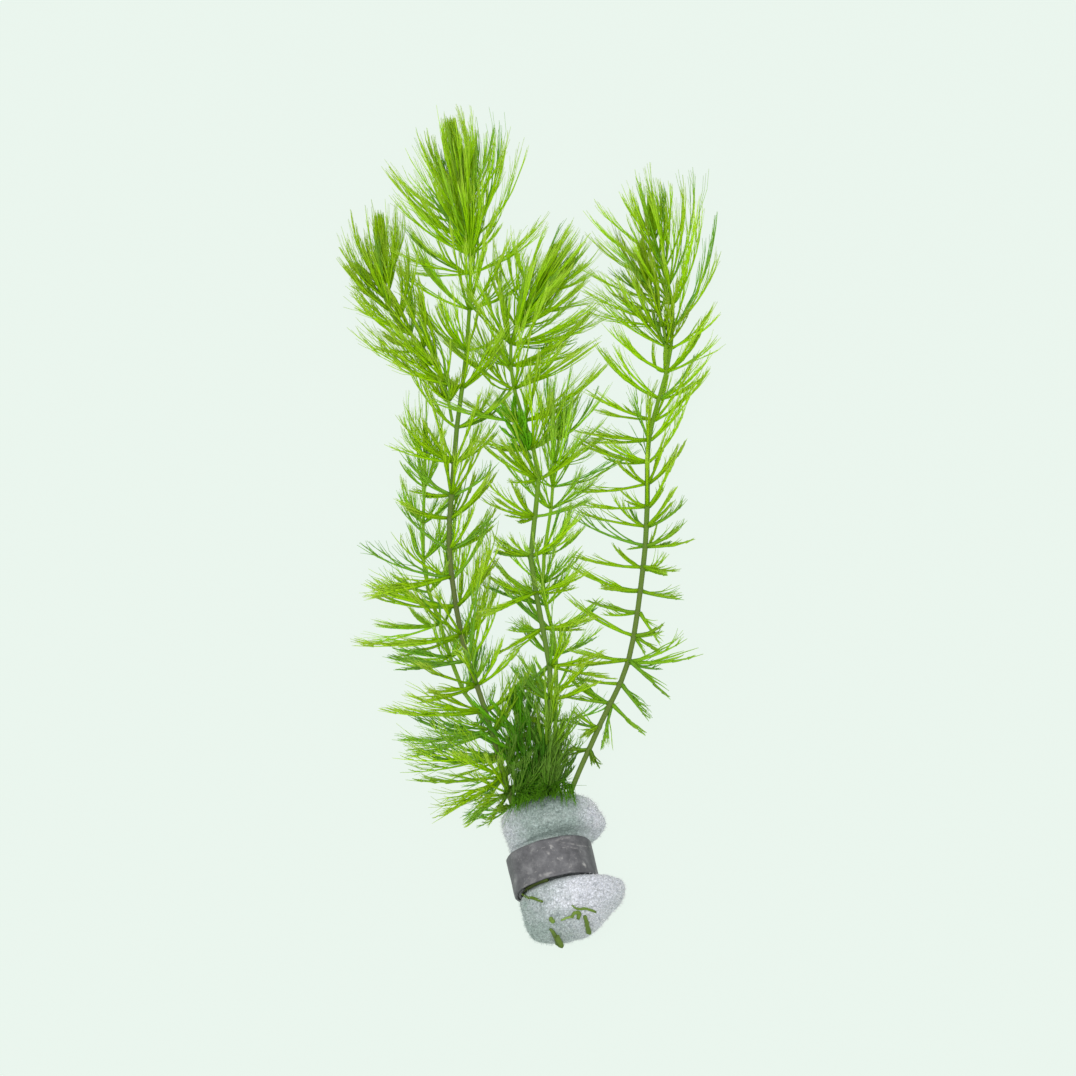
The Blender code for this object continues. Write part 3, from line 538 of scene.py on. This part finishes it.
shading = {
    # painted shade: leaves low down near the foam, where they crowd together, are made darker and a cooler
    # green
    "gloomTop": 42.0, "gloomDepth": 18.0, "crowdShade": 3.2,  # leaves near the foam are darker, and greener,
    "gloomLeft": -18.0, "gloomSide": 8.0,  # but not those that reach far to the left
    "gloomTint": 0.7, "tints": (0.2, 0.7),
    "tintHeights": (40, 120), "tintShares": (0.4, 0.1),  # share of the leaves with a cooler green
    "ageTop": 150.0, "ageDepth": 50.0, "age": 0.8,  # older leaves are a little darker
    "wornTop": 0.5,  # up to where a worn stem has lost leaf tips
    "wornGloom": 3.0, "wornSize": 1.2, "leftWear": 0.35,
    "greenStem": (0.12, 0.25, 0.4, 0.65),  # a stem is browner between these heights
    "greenFoot": 0.05, "greenTop": 0.125,
}


def leafySurface(name, look):
    # thin living leaf: little gloss over a translucent body, darker at its root and pale at its tips
    made, nodes, links = newMaterial(name)
    nodes.clear()
    out = addNode(nodes, "OutputMaterial")
    mix = addNode(nodes, "MixShader", {"Fac": look["through"]})
    skin = addNode(nodes, "BsdfPrincipled",
                   {"Roughness": leafFinish["roughness"], "Specular IOR Level": leafFinish["gloss"]})
    glow = addNode(nodes, "BsdfTranslucent")
    reach, shade, tint = (
        addNode(nodes, "Attribute", attribute_name=label) for label in ("reach", "shade", "tint"))
    grain = addNode(nodes, "TexNoise", {"Scale": leafFinish["mottleScale"]})
    level = addNode(nodes, "Math", {1: leafFinish["perShade"], 2: leafFinish["level"]},
                    operation="MULTIPLY_ADD")
    value = addNode(nodes, "Math", {1: leafFinish["mottle"]}, operation="MULTIPLY_ADD")
    joinNodes(links, (shade, "Fac", level, 0), (grain, "Fac", value, 0), (level, 0, value, 2))
    for colours, body, socket in ((look["skin"], skin, "Base Color"), (look["glow"], glow, "Color")):
        ramp = addRamp(nodes, tuple(zip(reachStops, colours)))
        tinted = addNode(nodes, "Mix", {"B": (*look["tint"], 1)}, data_type="RGBA")
        hue = addNode(nodes, "HueSaturation")
        joinNodes(links, (reach, "Fac", ramp, "Fac"), (tint, "Fac", tinted, "Factor"),
                  (ramp, "Color", tinted, "A"), (tinted, "Result", hue, "Color"),
                  (value, 0, hue, "Value"), (hue, "Color", body, socket))
    joinNodes(links, (skin, 0, mix, 1), (glow, 0, mix, 2), (mix, 0, out, "Surface"))
    return made


def leafShade(stem, y, lowness, tipX, wear, random):
    # how bright a leaf is and how far it goes to the cooler green, by its height and where its tip is
    # crowdShade paints shade on a leaf low down near the foam, where leaves crowd
    crowdShade = lowness * limited((tipX - shading["gloomLeft"]) / shading["gloomSide"])
    age = limited((shading["ageTop"] - y) / shading["ageDepth"])
    shade = random.uniform(-1, 1) - crowdShade * shading["crowdShade"] - age * shading["age"]
    shade -= wear * shading["wornGloom"] + stem["dim"]
    tint = max(crowdShade * shading["gloomTint"], wear)
    if random.random() < np.interp(y, shading["tintHeights"], shading["tintShares"]):
        tint = max(tint, random.uniform(*shading["tints"]))
    return shade, tint


# Short leaves that hang over the foam's upper rim, between the stems
rim = {
    "stem": "short_stem", "leaves": 18, "across": (-11.0, 4.5), "level": 16.9, "slope": 0.221,
    "foot": 9.0, "bend": 20.5, "tip": (24.0, 26.5), "behind": 2.2, "over": (0.5, 4.5),
    "shade": (-7.5, -3.5), "tint": 0.3, "size": 0.75,
    "gather": 0.6, "swing": 2.5,  # feet stand closer together; tips lie unevenly
    "armsAlong": (-0.6, 1), "armsUp": 0.5,
}


def rimLeaf(random):
    # a leaf that rises from between the stems and ends on the foam, and the way its arms point
    x = random.uniform(*rim["across"])
    y = rim["level"] + rim["slope"] * x
    foot = (x * rim["gather"], y + rim["behind"], rim["foot"])
    bend = (x, y + rim["behind"], rim["bend"])
    swing = random.uniform(-1, 1) * rim["swing"]
    tip = (x + swing, y - random.uniform(*rim["over"]), random.uniform(*rim["tip"]))
    toward = unit(np.array([random.uniform(-1, 1), random.uniform(*rim["armsAlong"]), rim["armsUp"]]))
    return np.array([foot, bend, tip]), toward


# Cut ends and scraps of the stems that stick out of the foam's lower end: points, radius and shade
stemScraps = {
    "left_stem": [
        ((-0.6, -18.8, 18.2), (0.5, -19.8, 15.6), (1.2, -20.6, 12.4), (2.3, -20.8, 9.6), 0.62, -1)],
    "right_stem": [
        ((8.0, -15.4, 19.2), (8.5, -16.6, 17.8), (8.9, -17.5, 15.4), (9.4, -18.0, 12.8), 0.6, -1),
        ((4.8, -16.2, 19.8), (5.3, -15.2, 20.6), (6.5, -15.1, 20.3), (6.4, -16.3, 19.4), 0.5, 1)],
    "middle_stem": [
        ((4.8, -14, 22.6), (6.4, -14.6, 21.8), (8.6, -14.2, 20.8), (10.9, -14.5, 19.0), 0.34, 1),
        ((-0.7, -16.2, 19.9), (-0.4, -16.8, 20.0), (0.2, -17.2, 19.4), 0.6, 3)],
    "left_back_stem": [
        ((-8.0, -8.4, 15.2), (-6.4, -10.4, 18.2), (-5.4, -10.8, 19.4), (-2.7, -12.6, 21.3), 0.36, -5)],
    "short_stem": [
        ((2.0, -17.0, 20.0), (3.4, -16.6, 20.4), (5.0, -16.2, 20.2), 0.3, 6),
        # this scrap is a bit of stem along the strip's lower rim; its dark shade of -9 is painted shadow
        ((-7.4, -7.9, 15.4), (-5.6, -7.2, 17.2), (-3.4, -6.4, 18.2), (-1.2, -6.1, 18.9), 0.6, -9)],
}
scrapShape = {
    "parts": 3, "sides": 8, "reach": 0.05,
    "search": 30.0,  # how far off the foam is looked for
    "lift": 0.55,  # how far a scrap's middle stands off the foam, as a share of its radius
    "foot": 0.8, "widening": 0.35, "knots": 0.12, "knotPitch": 2.3, "ends": 0.7,
}


def seated(line, radius, foamTree):
    # a line seen on the foam by the camera, laid on the foam's surface; past its edge it stays as it is
    away = awayFromScene()
    search = scrapShape["search"]
    spots = []
    for point in line:
        spot, normal, _, _ = foamTree.ray_cast(Vector(point) + away * search, -away, 2 * search)
        outward = normal if spot is None or normal.dot(away) > 0 else -normal
        spots.append(point if spot is None else spot + outward * radius * scrapShape["lift"])
    return np.array(spots)


def addScrap(maker, corners, radius, shade, foamTree):
    line = seated(smoothLine(corners, scrapShape["parts"]), radius, foamTree)
    radii = radius * (scrapShape["foot"] + scrapShape["widening"] * np.linspace(0, 1, len(line)))
    radii *= 1 + scrapShape["knots"] * np.sin(line.sum(1) * scrapShape["knotPitch"])
    radii[[0, -1]] *= scrapShape["ends"]
    reach = np.full((1, len(line)), scrapShape["reach"])
    maker.addTubes(line[None], radii[None], scrapShape["sides"], reach, shade)


def makeStem(name, stem, material, foamTree):
    random = np.random.default_rng(stem["seed"])
    maker = MeshMaker()
    line = smoothLine(stem["line"])
    whorls = whorlsOf(name)
    levels = np.array([np.mean([leaf[0][1] for leaf in whorl]) for whorl in whorls])
    stemTube(maker, stem, line, levels)
    low, high = levels[0], levels[-1]
    for y, whorl in zip(levels, whorls):
        height = (y - low) / (high - low)
        lowness = limited((shading["gloomTop"] - y) / shading["gloomDepth"])
        wear = stem["worn"] * max(1 - height / shading["wornTop"], 0)
        place = placeOn(line, y)
        centre, along = place[:2]
        for leaf, size in leavesAt(stem, whorl, place, height, lowness, random):
            leafWear = wear if leaf[2][0] > centre[0] else wear * shading["leftWear"]
            shade, tint = leafShade(stem, y, lowness, leaf[2][0], leafWear, random)
            size *= (1 + leafWear * shading["wornSize"]) * leafLooks[stem["tone"]]["size"]
            combLeaf(maker, leafPath(leaf), along, height, random, (size, shade, tint), 1 - leafWear)
    growingTip(maker, stem, line, high, random)
    for number in range(rim["leaves"] if name == rim["stem"] else 0):
        leaf, toward = rimLeaf(random)
        look = (rim["size"], random.uniform(*rim["shade"]), rim["tint"])
        combLeaf(maker, leafPath(leaf), toward, 0, random, look, 1)
    for *corners, radius, shade in stemScraps.get(name, []):
        addScrap(maker, corners, radius, shade, foamTree)
    piece = maker.build(name + "_leaves", material)
    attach(piece, "root")
    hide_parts(name)
    print("stage:", name, len(piece.data.polygons), "faces")


def makeStems(foamTree):
    materials = {key: leafySurface(key + "_leaf_surface", look) for key, look in leafLooks.items()}
    for name, stem in stems.items():
        makeStem(name, stem, materials[stem["tone"]], foamTree)


# The foam roll: sections along it from the growing end down, closed round the stems at both ends.
# Each has its place along the roll, offset to its right, half width, middle height and half height.
foam = {
    "turn": 12.5,  # degrees that the roll lies turned on the surface
    "sections": (
        (14.2, -0.2, 4.0, 11.2, 3.6), (15.8, 0.2, 7.6, 11.2, 6.2), (16.5, 1.0, 10.2, 11.2, 8.8),
        (15.4, 1.8, 12.0, 11.4, 10.8), (12.6, 2.3, 12.7, 11.6, 12.1), (9.2, 2.9, 12.9, 11.6, 12.0),
        (7.2, 2.4, 12.1, 11.2, 11.0), (5.7, 0.9, 10.2, 10.5, 9.1), (0.0, 0.45, 9.2, 10.3, 8.7),
        (-4.4, 0.5, 9.2, 10.2, 8.3), (-6.2, 1.8, 11.2, 10.8, 9.9), (-8.0, 3.2, 13.4, 11.6, 12.0),
        (-11.2, 2.9, 13.3, 11.6, 12.0), (-13.4, 1.9, 12.3, 11.5, 11.5), (-15.3, 0.6, 10.6, 11.4, 10.7),
        (-17.2, 0.1, 8.8, 11.2, 8.9), (-18.5, 0.2, 6.4, 11.0, 6.2), (-18.8, 0.4, 3.0, 10.8, 2.8),
        (-18.4, 0.7, 1.0, 10.6, 0.9)),
    "ringSpacing": 0.3, "sides": 216, "lowest": 0.02,
    "pinch": 5.4, "pinchEdge": 1.5, "pinchLowest": 1.3, "pinchShare": 0.2,  # no lumps under the strip
    "lump": 0.55, "lumpSize": 5.0, "pore": 0.45, "poreSize": 0.85, "poreEdge": 0.55,
}
# The foam's tone goes from 0, greenish, to 1, white. At the upper end it is lowest across the middle, and
# along the roll it changes to that of the lower end. The middle points of both ends have their own.
foamTones = {
    "upperCurve": 0.0055, "upperMiddle": 1, "lower": 0.72, "lowerSlope": 0.035, "lowerMiddle": 3,
    "endStart": -14, "endFade": 26, "change": (-9, 14), "caps": 0.3,
    # these colours are partly the foam's own grey-green and partly painted shade inside its pores
    "colours": ((0.19, 0.25, 0.22), (0.30, 0.37, 0.34), (0.60, 0.62, 0.66)), "stops": (0.0, 0.45, 1.0),
    # colour of the painted shadow under the strip's lower edge
    "shadow": (0.03, 0.04, 0.03, 1),
}
foamFinish = {
    "roughness": 0.45, "through": 0.35, "depth": 0.0012, "cellScale": 1300, "grainScale": 2400,
    "mottleScale": 420, "mottle": 0.5,
    "pores": ((0.0, (1, 1, 1)), (0.55, (0.9, 0.9, 0.9)), (1.0, (0.55, 0.57, 0.58))),
    # pale flecks in the base colour, brighter than white at the top: painted glints
    "glintSpeckles": ((0.3, (0.66, 0.68, 0.68)), (0.5, (0.92, 0.92, 0.92)), (0.7, (1.4, 1.4, 1.45))),
}
# painted shadow under the strip's lower edge: where it lies along the roll, its width, how it narrows to
# the right, its least width and how dark it is
paintedShadowBand = {"edge": -5.4, "width": 0.75, "narrowing": 0.05, "leastWidth": 0.3, "darkness": 0.85}


def rollPoints(along, right, z):
    # points given in the roll's own directions, turned with it
    turn = math.radians(foam["turn"])
    x = right * math.cos(turn) - along * math.sin(turn)
    y = right * math.sin(turn) + along * math.cos(turn)
    return np.stack(np.broadcast_arrays(x, y, z), -1)


def rollPlace(points):
    # where points are across the roll and along it
    turn = math.radians(foam["turn"])
    right = points[..., 0] * math.cos(turn) + points[..., 1] * math.sin(turn)
    along = points[..., 1] * math.cos(turn) - points[..., 0] * math.sin(turn)
    return right, along


def foamRings():
    sections = smoothLine(foam["sections"])
    walked = np.append(0, np.cumsum(np.linalg.norm(np.diff(sections[:, [0, 2]], axis=0), axis=1)))
    even = np.arange(0, walked[-1], foam["ringSpacing"])
    along, right, halfWidth, middle, halfHeight = (
        np.interp(even, walked, sections[:, k])[:, None] for k in range(5))
    turns = (np.arange(foam["sides"]) * math.tau / foam["sides"])[None]
    outward = rollPoints(np.zeros_like(along), np.cos(turns), np.sin(turns))
    points = rollPoints(along, right + halfWidth * np.cos(turns), middle + halfHeight * np.sin(turns))
    # at the two closed ends the surface faces along the roll
    forward, wider = np.gradient(along, axis=0), np.gradient(halfWidth, axis=0)
    lean = np.clip(1 - np.abs(forward) / np.hypot(forward, wider), 0, 1)[:, :, None]
    ends = rollPoints(np.sign(along), 0.0, 0.0)
    outward = unit(outward * (1 - lean) + ends * lean)
    return points, outward, np.repeat(along, foam["sides"], 1)


def foamSurface(name, toneName, shadowName, brightness):
    # soft white foam with open cells and pale flecks brightened past white as painted glints, green at low
    # tone and dark in the strip's painted shadow
    made, nodes, links = newMaterial(name)
    skin = nodes["Principled BSDF"]
    skin.inputs["Roughness"].default_value = foamFinish["roughness"]
    skin.inputs["Subsurface Weight"].default_value = foamFinish["through"]
    skin.inputs["Subsurface Radius"].default_value = (1.0, 1.0, 1.0)
    skin.inputs["Subsurface Scale"].default_value = foamFinish["depth"]
    place = addNode(nodes, "TexCoord")
    tone = addNode(nodes, "Attribute", attribute_name=toneName)
    shadow = addNode(nodes, "Attribute", attribute_name=shadowName)
    cells = addNode(nodes, "TexVoronoi", {"Scale": foamFinish["cellScale"]})
    grain = addNode(nodes, "TexNoise", {"Scale": foamFinish["grainScale"], "Detail": 3})
    mottle = addNode(nodes, "TexNoise", {"Scale": foamFinish["mottleScale"]})
    colours = [[min(part * brightness, 1) for part in colour] for colour in foamTones["colours"]]
    shades = addRamp(nodes, tuple(zip(foamTones["stops"], colours)))
    pores = addRamp(nodes, foamFinish["pores"])
    # painted glints: pale flecks from the fine grain noise
    glintSpeckle = addRamp(nodes, foamFinish["glintSpeckles"])
    first, second = (
        addNode(nodes, "Mix", {"Factor": 1.0}, data_type="RGBA", blend_type="MULTIPLY") for _ in range(2))
    # mixes in the painted shadow under the strip
    dark = addNode(nodes, "Mix", {"B": foamTones["shadow"]}, data_type="RGBA")
    add = addNode(nodes, "Math", {1: foamFinish["mottle"]}, operation="MULTIPLY_ADD")
    joinNodes(
        links, (place, "Object", cells, "Vector"), (place, "Object", grain, "Vector"),
        (place, "Object", mottle, "Vector"), (mottle, "Fac", add, 0), (tone, "Fac", add, 2),
        (add, 0, shades, "Fac"), (cells, "Distance", pores, "Fac"), (grain, "Fac", glintSpeckle, "Fac"),
        (shades, "Color", first, "A"), (pores, "Color", first, "B"), (first, "Result", second, "A"),
        (glintSpeckle, "Color", second, "B"), (second, "Result", dark, "A"), (shadow, "Fac", dark, "Factor"),
        (dark, "Result", skin, "Base Color"))
    return made


def foamTone(points):
    # paler towards the lower end and the right side, darker again at the very end
    right, along = rollPlace(points)
    upper = foamTones["upperCurve"] * (right - foamTones["upperMiddle"])**2
    lower = foamTones["lower"] + foamTones["lowerSlope"] * (right - foamTones["lowerMiddle"])
    lower -= np.maximum(foamTones["endStart"] - along, 0) / foamTones["endFade"]
    start, width = foamTones["change"]
    return np.clip(lower + (upper - lower) * np.clip((along - start) / width, 0, 1), 0, 1)


def stripShadow(points):
    # painted shadow in the gap under the strip's lower edge, wider towards the left
    right, along = rollPlace(points)
    width = np.maximum(paintedShadowBand["width"] - paintedShadowBand["narrowing"] * right, paintedShadowBand["leastWidth"])
    return paintedShadowBand["darkness"] * np.exp(-(((along - paintedShadowBand["edge"]) / width) ** 2))


fibres = {
    "count": 9000, "length": (0.4, 0.95), "radii": (0.045, 0.0405, 0.027), "sides": 3, "seed": 31,
    # the fibres use the foam's colours made brighter; the foam body's darker colours are partly painted
    # shade inside its pores
    "outward": 0.4, "swerve": 0.3, "root": 0.1, "brightness": 1.9,
}


def makeFibres(points, outward, openness):
    # torn ends of the foam's open cells, which make its outline soft
    random = np.random.default_rng(fibres["seed"])
    count = fibres["count"]
    size = np.linalg.norm(points - points.mean(1)[:, None], axis=2).mean(1) * (openness[:, 0] >= 1)
    ring = random.choice(len(points), count, p=size / size.sum())
    spot = random.integers(0, points.shape[1], count)
    foot, normal = points[ring, spot], outward[ring, spot]
    length = random.uniform(*fibres["length"], count)[:, None]
    heading = unit(random.normal(size=(count, 3)) + normal * fibres["outward"])
    swerve = random.normal(size=(count, 3)) * fibres["swerve"]
    middle = foot + (heading + swerve) * length / 2
    lines = np.stack([foot - normal * fibres["root"], middle, foot + heading * length], 1)
    lines[:, :, 2] = np.clip(lines[:, :, 2], stemShape["lowest"], None)
    maker = MeshMaker()
    radii = np.repeat([fibres["radii"]], count, 0)
    tone = np.repeat(foamTone(foot)[:, None], len(fibres["radii"]), 1)
    shade = random.uniform(-1, 1, count)
    # here reach is the foam's tone and tint the strip's painted shadow
    maker.addTubes(lines, radii, fibres["sides"], tone, shade, stripShadow(foot))
    surface = foamSurface("foam_fibre_surface", "reach", "tint", fibres["brightness"])
    piece = maker.build("foam_wrap_fibres", surface)
    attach(piece, "root")
    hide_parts("foam_wrap")
    print("stage: foam fibres", len(piece.data.polygons), "faces")


def makeFoam():
    points, outward, along = foamRings()
    rings, sides, _ = points.shape
    openness = np.clip((np.abs(along) - foam["pinch"]) / foam["pinchEdge"], 0, 1)
    flat = points.reshape(-1, 3)
    lumps = np.array([noise.noise(Vector(p / foam["lumpSize"])) for p in flat]).reshape(rings, sides)
    cells = [noise.voronoi(Vector(p / foam["poreSize"]))[0][0] for p in flat]
    cells = np.array(cells).reshape(rings, sides)
    sunk = np.maximum(1 - cells / foam["poreEdge"], 0) * foam["pore"]
    points = points + outward * ((lumps * foam["lump"] - sunk) * openness)[:, :, None]
    lowest = np.where(openness > foam["pinchShare"], foam["lowest"], foam["pinchLowest"])
    points[:, :, 2] = np.maximum(points[:, :, 2], lowest)
    index = np.arange(rings * sides).reshape(rings, sides)
    after = np.roll(index, -1, axis=1)
    quads = quadsOf(index[:-1], after[:-1], after[1:], index[1:]).tolist()
    first, last = len(flat), len(flat) + 1
    caps = [[first, int(after[0, k]), int(index[0, k])] for k in range(sides)]
    caps += [[last, int(index[-1, k]), int(after[-1, k])] for k in range(sides)]
    middles = np.stack([points[0].mean(0), points[-1].mean(0)])
    numbers = {"tone": np.append(foamTone(points), [foamTones["caps"]] * 2),
               "shadow": np.append(stripShadow(points), (0, 0))}
    piece = addMesh("foam_wrap_surface", np.vstack([points.reshape(-1, 3), middles]), quads + caps,
                    foamSurface("foam_surface", "tone", "shadow", 1.0), numbers)
    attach(piece, "root")
    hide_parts("foam_wrap")
    print("stage: foam", len(piece.data.polygons), "faces")
    makeFibres(points, outward, openness)
    return BVHTree.FromPolygons(points.reshape(-1, 3).tolist(), quads)


# The metal strip: bent once round the foam, its outer end lying over its inner one on the left
strip = {
    "width": 10.4, "thickness": 0.9, "halfWidth": 10.65, "offset": 0.45, "top": 20.6, "lap": 10.0,
    "start": 155.0, "lapRise": 0.5, "lapGap": 0.15, "roundness": 1.04,
    "steps": 300, "across": 36, "edge": 0.25, "edgeDepth": 0.22, "sharpAngle": 50,
    "dent": 0.16, "dentSize": 4.0, "dentsAbove": 1.5,
    # scratches and rubbed places as the camera sees them: middle x and height in the picture, half
    # length, half width, degrees from level, strength
    "marks": (
        (-0.3, 2.6, 0.7, 0.25, -25, 0.5), (-1.2, 0.9, 0.5, 0.25, -40, 0.5), (3.6, 4.9, 0.8, 0.25, 0, 0.5),
        (6.2, 3.0, 3.4, 0.12, -10, 0.5), (5.0, 2.3, 2.0, 0.1, -14, 0.35), (8.1, -2.2, 0.8, 0.28, -60, 0.8),
        (-1.6, -4.5, 1.9, 0.35, 14, 0.4), (-7.2, -7.6, 0.6, 0.25, 60, 0.4), (-9.9, -6.2, 0.5, 0.2, 80, 0.3),
        (4.6, -2.0, 0.5, 0.2, 20, 0.25), (1.4, 4.4, 1.4, 0.15, 30, 0.25), (-5.4, 1.6, 0.9, 0.2, 50, 0.25)),
    "markNoise": 2.0, "markSize": 1.3,
}


def stripOutline(turn, outset):
    # the strip's section round the roll at an angle, moved out by outset, flat underneath
    halfHeight, thickness = strip["top"] / 2, strip["thickness"]
    right = strip["offset"] + (strip["halfWidth"] - thickness + outset) * np.cos(turn)
    z = halfHeight + (halfHeight - thickness + outset) * strip["roundness"] * np.sin(turn)
    return right, np.clip(z, thickness - outset, strip["top"] - thickness + outset)


def stripSurface():
    # dull cloudy lead with small scuffs, and the marks rubbed bright
    made, nodes, links = newMaterial("lead_strip_surface")
    skin = nodes["Principled BSDF"]
    skin.inputs["Metallic"].default_value = 0.35
    skin.inputs["Roughness"].default_value = 0.62
    place = addNode(nodes, "TexCoord")
    cloud = addNode(nodes, "TexNoise", {"Scale": 300, "Detail": 8, "Roughness": 0.7})
    scuff = addNode(nodes, "TexNoise", {"Scale": 900, "Detail": 4, "Distortion": 0.6})
    grey = addRamp(nodes, (
        (0.25, (0.06, 0.06, 0.065)), (0.52, (0.13, 0.13, 0.137)), (0.75, (0.25, 0.25, 0.255))))
    worn = addRamp(nodes, ((0.0, (0, 0, 0)), (0.62, (0, 0, 0)), (0.8, (0.6, 0.6, 0.6))))
    marks = addNode(nodes, "Attribute", attribute_name="mark")
    most = addNode(nodes, "Math", operation="MAXIMUM")
    mix = addNode(nodes, "Mix", {"B": (0.48, 0.47, 0.45, 1)}, data_type="RGBA")
    bump = addNode(nodes, "Bump", {"Strength": 0.35, "Distance": 0.0003})
    joinNodes(
        links, (place, "Object", cloud, "Vector"), (place, "Object", scuff, "Vector"),
        (cloud, "Fac", grey, "Fac"), (scuff, "Fac", worn, "Fac"), (grey, "Color", mix, "A"),
        (worn, "Color", most, 0), (marks, "Fac", most, 1), (most, 0, mix, "Factor"),
        (mix, "Result", skin, "Base Color"), (cloud, "Fac", bump, "Height"),
        (bump, "Normal", skin, "Normal"))
    return made


def stripMarks(points):
    # how much each point is rubbed bright, from its place in the picture
    lift = math.radians(view["elevation"])
    height = points[:, 1] * math.sin(lift) + (points[:, 2] - strip["top"]) * math.cos(lift)
    broken = np.array([noise.noise(Vector(p * strip["markNoise"])) for p in points])
    mark = np.zeros(len(points))
    for x, level, halfLength, halfWidth, degrees, strength in strip["marks"]:
        turn = math.radians(degrees)
        run = (points[:, 0] - x) * math.cos(turn) + (height - level) * math.sin(turn)
        aside = (height - level) * math.cos(turn) - (points[:, 0] - x) * math.sin(turn)
        near = strip["markSize"] - np.hypot(run / halfLength, aside / halfWidth) + broken
        mark = np.maximum(mark, np.clip(near, 0, 1) * strength)
    return mark * (points[:, 2] > strip["top"] / 2)


def makeStrip():
    steps, across = strip["steps"], strip["across"]
    meanRadius = (strip["halfWidth"] + strip["top"] / 2) / 2
    sweep = math.tau + strip["lap"] / meanRadius
    passed = np.linspace(0, sweep, steps + 1)
    lap = np.clip((passed - math.tau + strip["lapRise"]) / strip["lapRise"], 0, 1)
    lift = lap * (strip["thickness"] + strip["lapGap"])
    turn = math.radians(strip["start"]) + passed
    width = np.linspace(-1, 1, across + 1) * strip["width"] / 2
    edge = np.clip((strip["width"] / 2 - np.abs(width)) / strip["edge"], 0, 1)
    rounding = (1 - np.sqrt(1 - (1 - edge) ** 2)) * strip["edgeDepth"]
    layers = []
    for outset, pull in ((0.0, rounding), (strip["thickness"], -rounding)):
        right, z = stripOutline(turn[:, None], outset + lift[:, None] + pull[None])
        layers.append(rollPoints(np.broadcast_to(width, right.shape), right, z))
    inner, outer = layers
    flat = outer.reshape(-1, 3)
    dents = np.array([noise.noise(Vector(p / strip["dentSize"])) for p in flat]).reshape(outer.shape[:2])
    above = outer[:, :, 2] > strip["dentsAbove"]
    shift = unit(outer - inner) * (dents * strip["dent"] * above)[:, :, None]
    inner, outer = inner + shift, outer + shift
    points = np.vstack([inner.reshape(-1, 3), outer.reshape(-1, 3)])
    size = (steps + 1) * (across + 1)
    low = np.arange(size).reshape(steps + 1, across + 1)
    high = low + size
    faces = np.vstack([
        quadsOf(low[:-1, :-1], low[1:, :-1], low[1:, 1:], low[:-1, 1:]),
        quadsOf(high[:-1, :-1], high[:-1, 1:], high[1:, 1:], high[1:, :-1]),
        quadsOf(low[:-1, 0], high[:-1, 0], high[1:, 0], low[1:, 0]),
        quadsOf(low[:-1, -1], low[1:, -1], high[1:, -1], high[:-1, -1]),
        quadsOf(low[0, :-1], low[0, 1:], high[0, 1:], high[0, :-1]),
        quadsOf(low[-1, :-1], high[-1, :-1], high[-1, 1:], low[-1, 1:])])
    numbers = {"mark": stripMarks(points)}
    piece = addMesh("lead_strip_surface", points, faces.tolist(), stripSurface(), numbers)
    piece.data.set_sharp_from_angle(angle=math.radians(strip["sharpAngle"]))
    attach(piece, "root")
    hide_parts("lead_strip")
    print("stage: strip", len(piece.data.polygons), "faces")


# The camera and the light
view = {
    "target": (-3.9, 91.3, 10.0), "elevation": 70.0, "distance": 5000.0, "pixels": 1076,
    "mmPerPixel": 0.26, "sensor": 36.0, "clip": (0.01, 20),
}
studio = {
    "floorSize": 6.0, "floorColour": (0.02, 0.022, 0.021, 1), "floorGlow": (0.80, 0.89, 0.826, 1),
    "floorRoughness": 0.9,
    "skyStrength": 0.7, "lampSize": 0.8, "lampPower": 15,
    "lampPlace": (-0.15, -0.3, 1.4), "lampTarget": (0, 0.09, 0),  # in metres
}


def awayFromScene():
    # unit vector from the object to the camera
    lift = math.radians(view["elevation"])
    return Vector((0, -math.cos(lift), math.sin(lift)))


def makeCamera():
    camera = bpy.data.cameras.new("camera")
    camera.sensor_width = view["sensor"]
    camera.lens = view["sensor"] * view["distance"] / (view["pixels"] * view["mmPerPixel"])
    camera.clip_start, camera.clip_end = view["clip"]
    thing = bpy.data.objects.new("camera", camera)
    bpy.context.scene.collection.objects.link(thing)
    away = awayFromScene()
    thing.location = (Vector(view["target"]) + away * view["distance"]) * mm
    thing.rotation_euler = (-away).to_track_quat("-Z", "Y").to_euler()
    bpy.context.scene.camera = thing


def makeStudio():
    # a pale floor that glows, an even sky and one soft lamp
    bpy.ops.mesh.primitive_plane_add(size=studio["floorSize"], location=(0, 0, 0))
    floor = bpy.context.object
    floor.name = "floor"
    surface, nodes, _ = newMaterial("pale_floor")
    shader = nodes["Principled BSDF"]
    shader.inputs["Base Color"].default_value = studio["floorColour"]
    shader.inputs["Roughness"].default_value = studio["floorRoughness"]
    shader.inputs["Specular IOR Level"].default_value = 0.0
    shader.inputs["Emission Color"].default_value = studio["floorGlow"]
    shader.inputs["Emission Strength"].default_value = 1.0
    floor.data.materials.append(surface)
    world = bpy.data.worlds.new("studio")
    world.use_nodes = True
    sky = world.node_tree.nodes["Background"]
    sky.inputs["Color"].default_value = (1, 1, 1, 1)
    sky.inputs["Strength"].default_value = studio["skyStrength"]
    bpy.context.scene.world = world
    light = bpy.data.lights.new("softbox", "AREA")
    light.shape = "SQUARE"
    light.size = studio["lampSize"]
    light.energy = studio["lampPower"]
    lamp = bpy.data.objects.new("softbox", light)
    lamp.location = studio["lampPlace"]
    lamp.rotation_euler = (Vector(studio["lampTarget"]) - lamp.location).to_track_quat("-Z", "Y").to_euler()
    bpy.context.scene.collection.objects.link(lamp)
    bpy.context.scene.view_settings.view_transform = "Standard"
    print("stage: camera and light")


makeCamera()
makeStudio()
makeStems(makeFoam())
makeStrip()
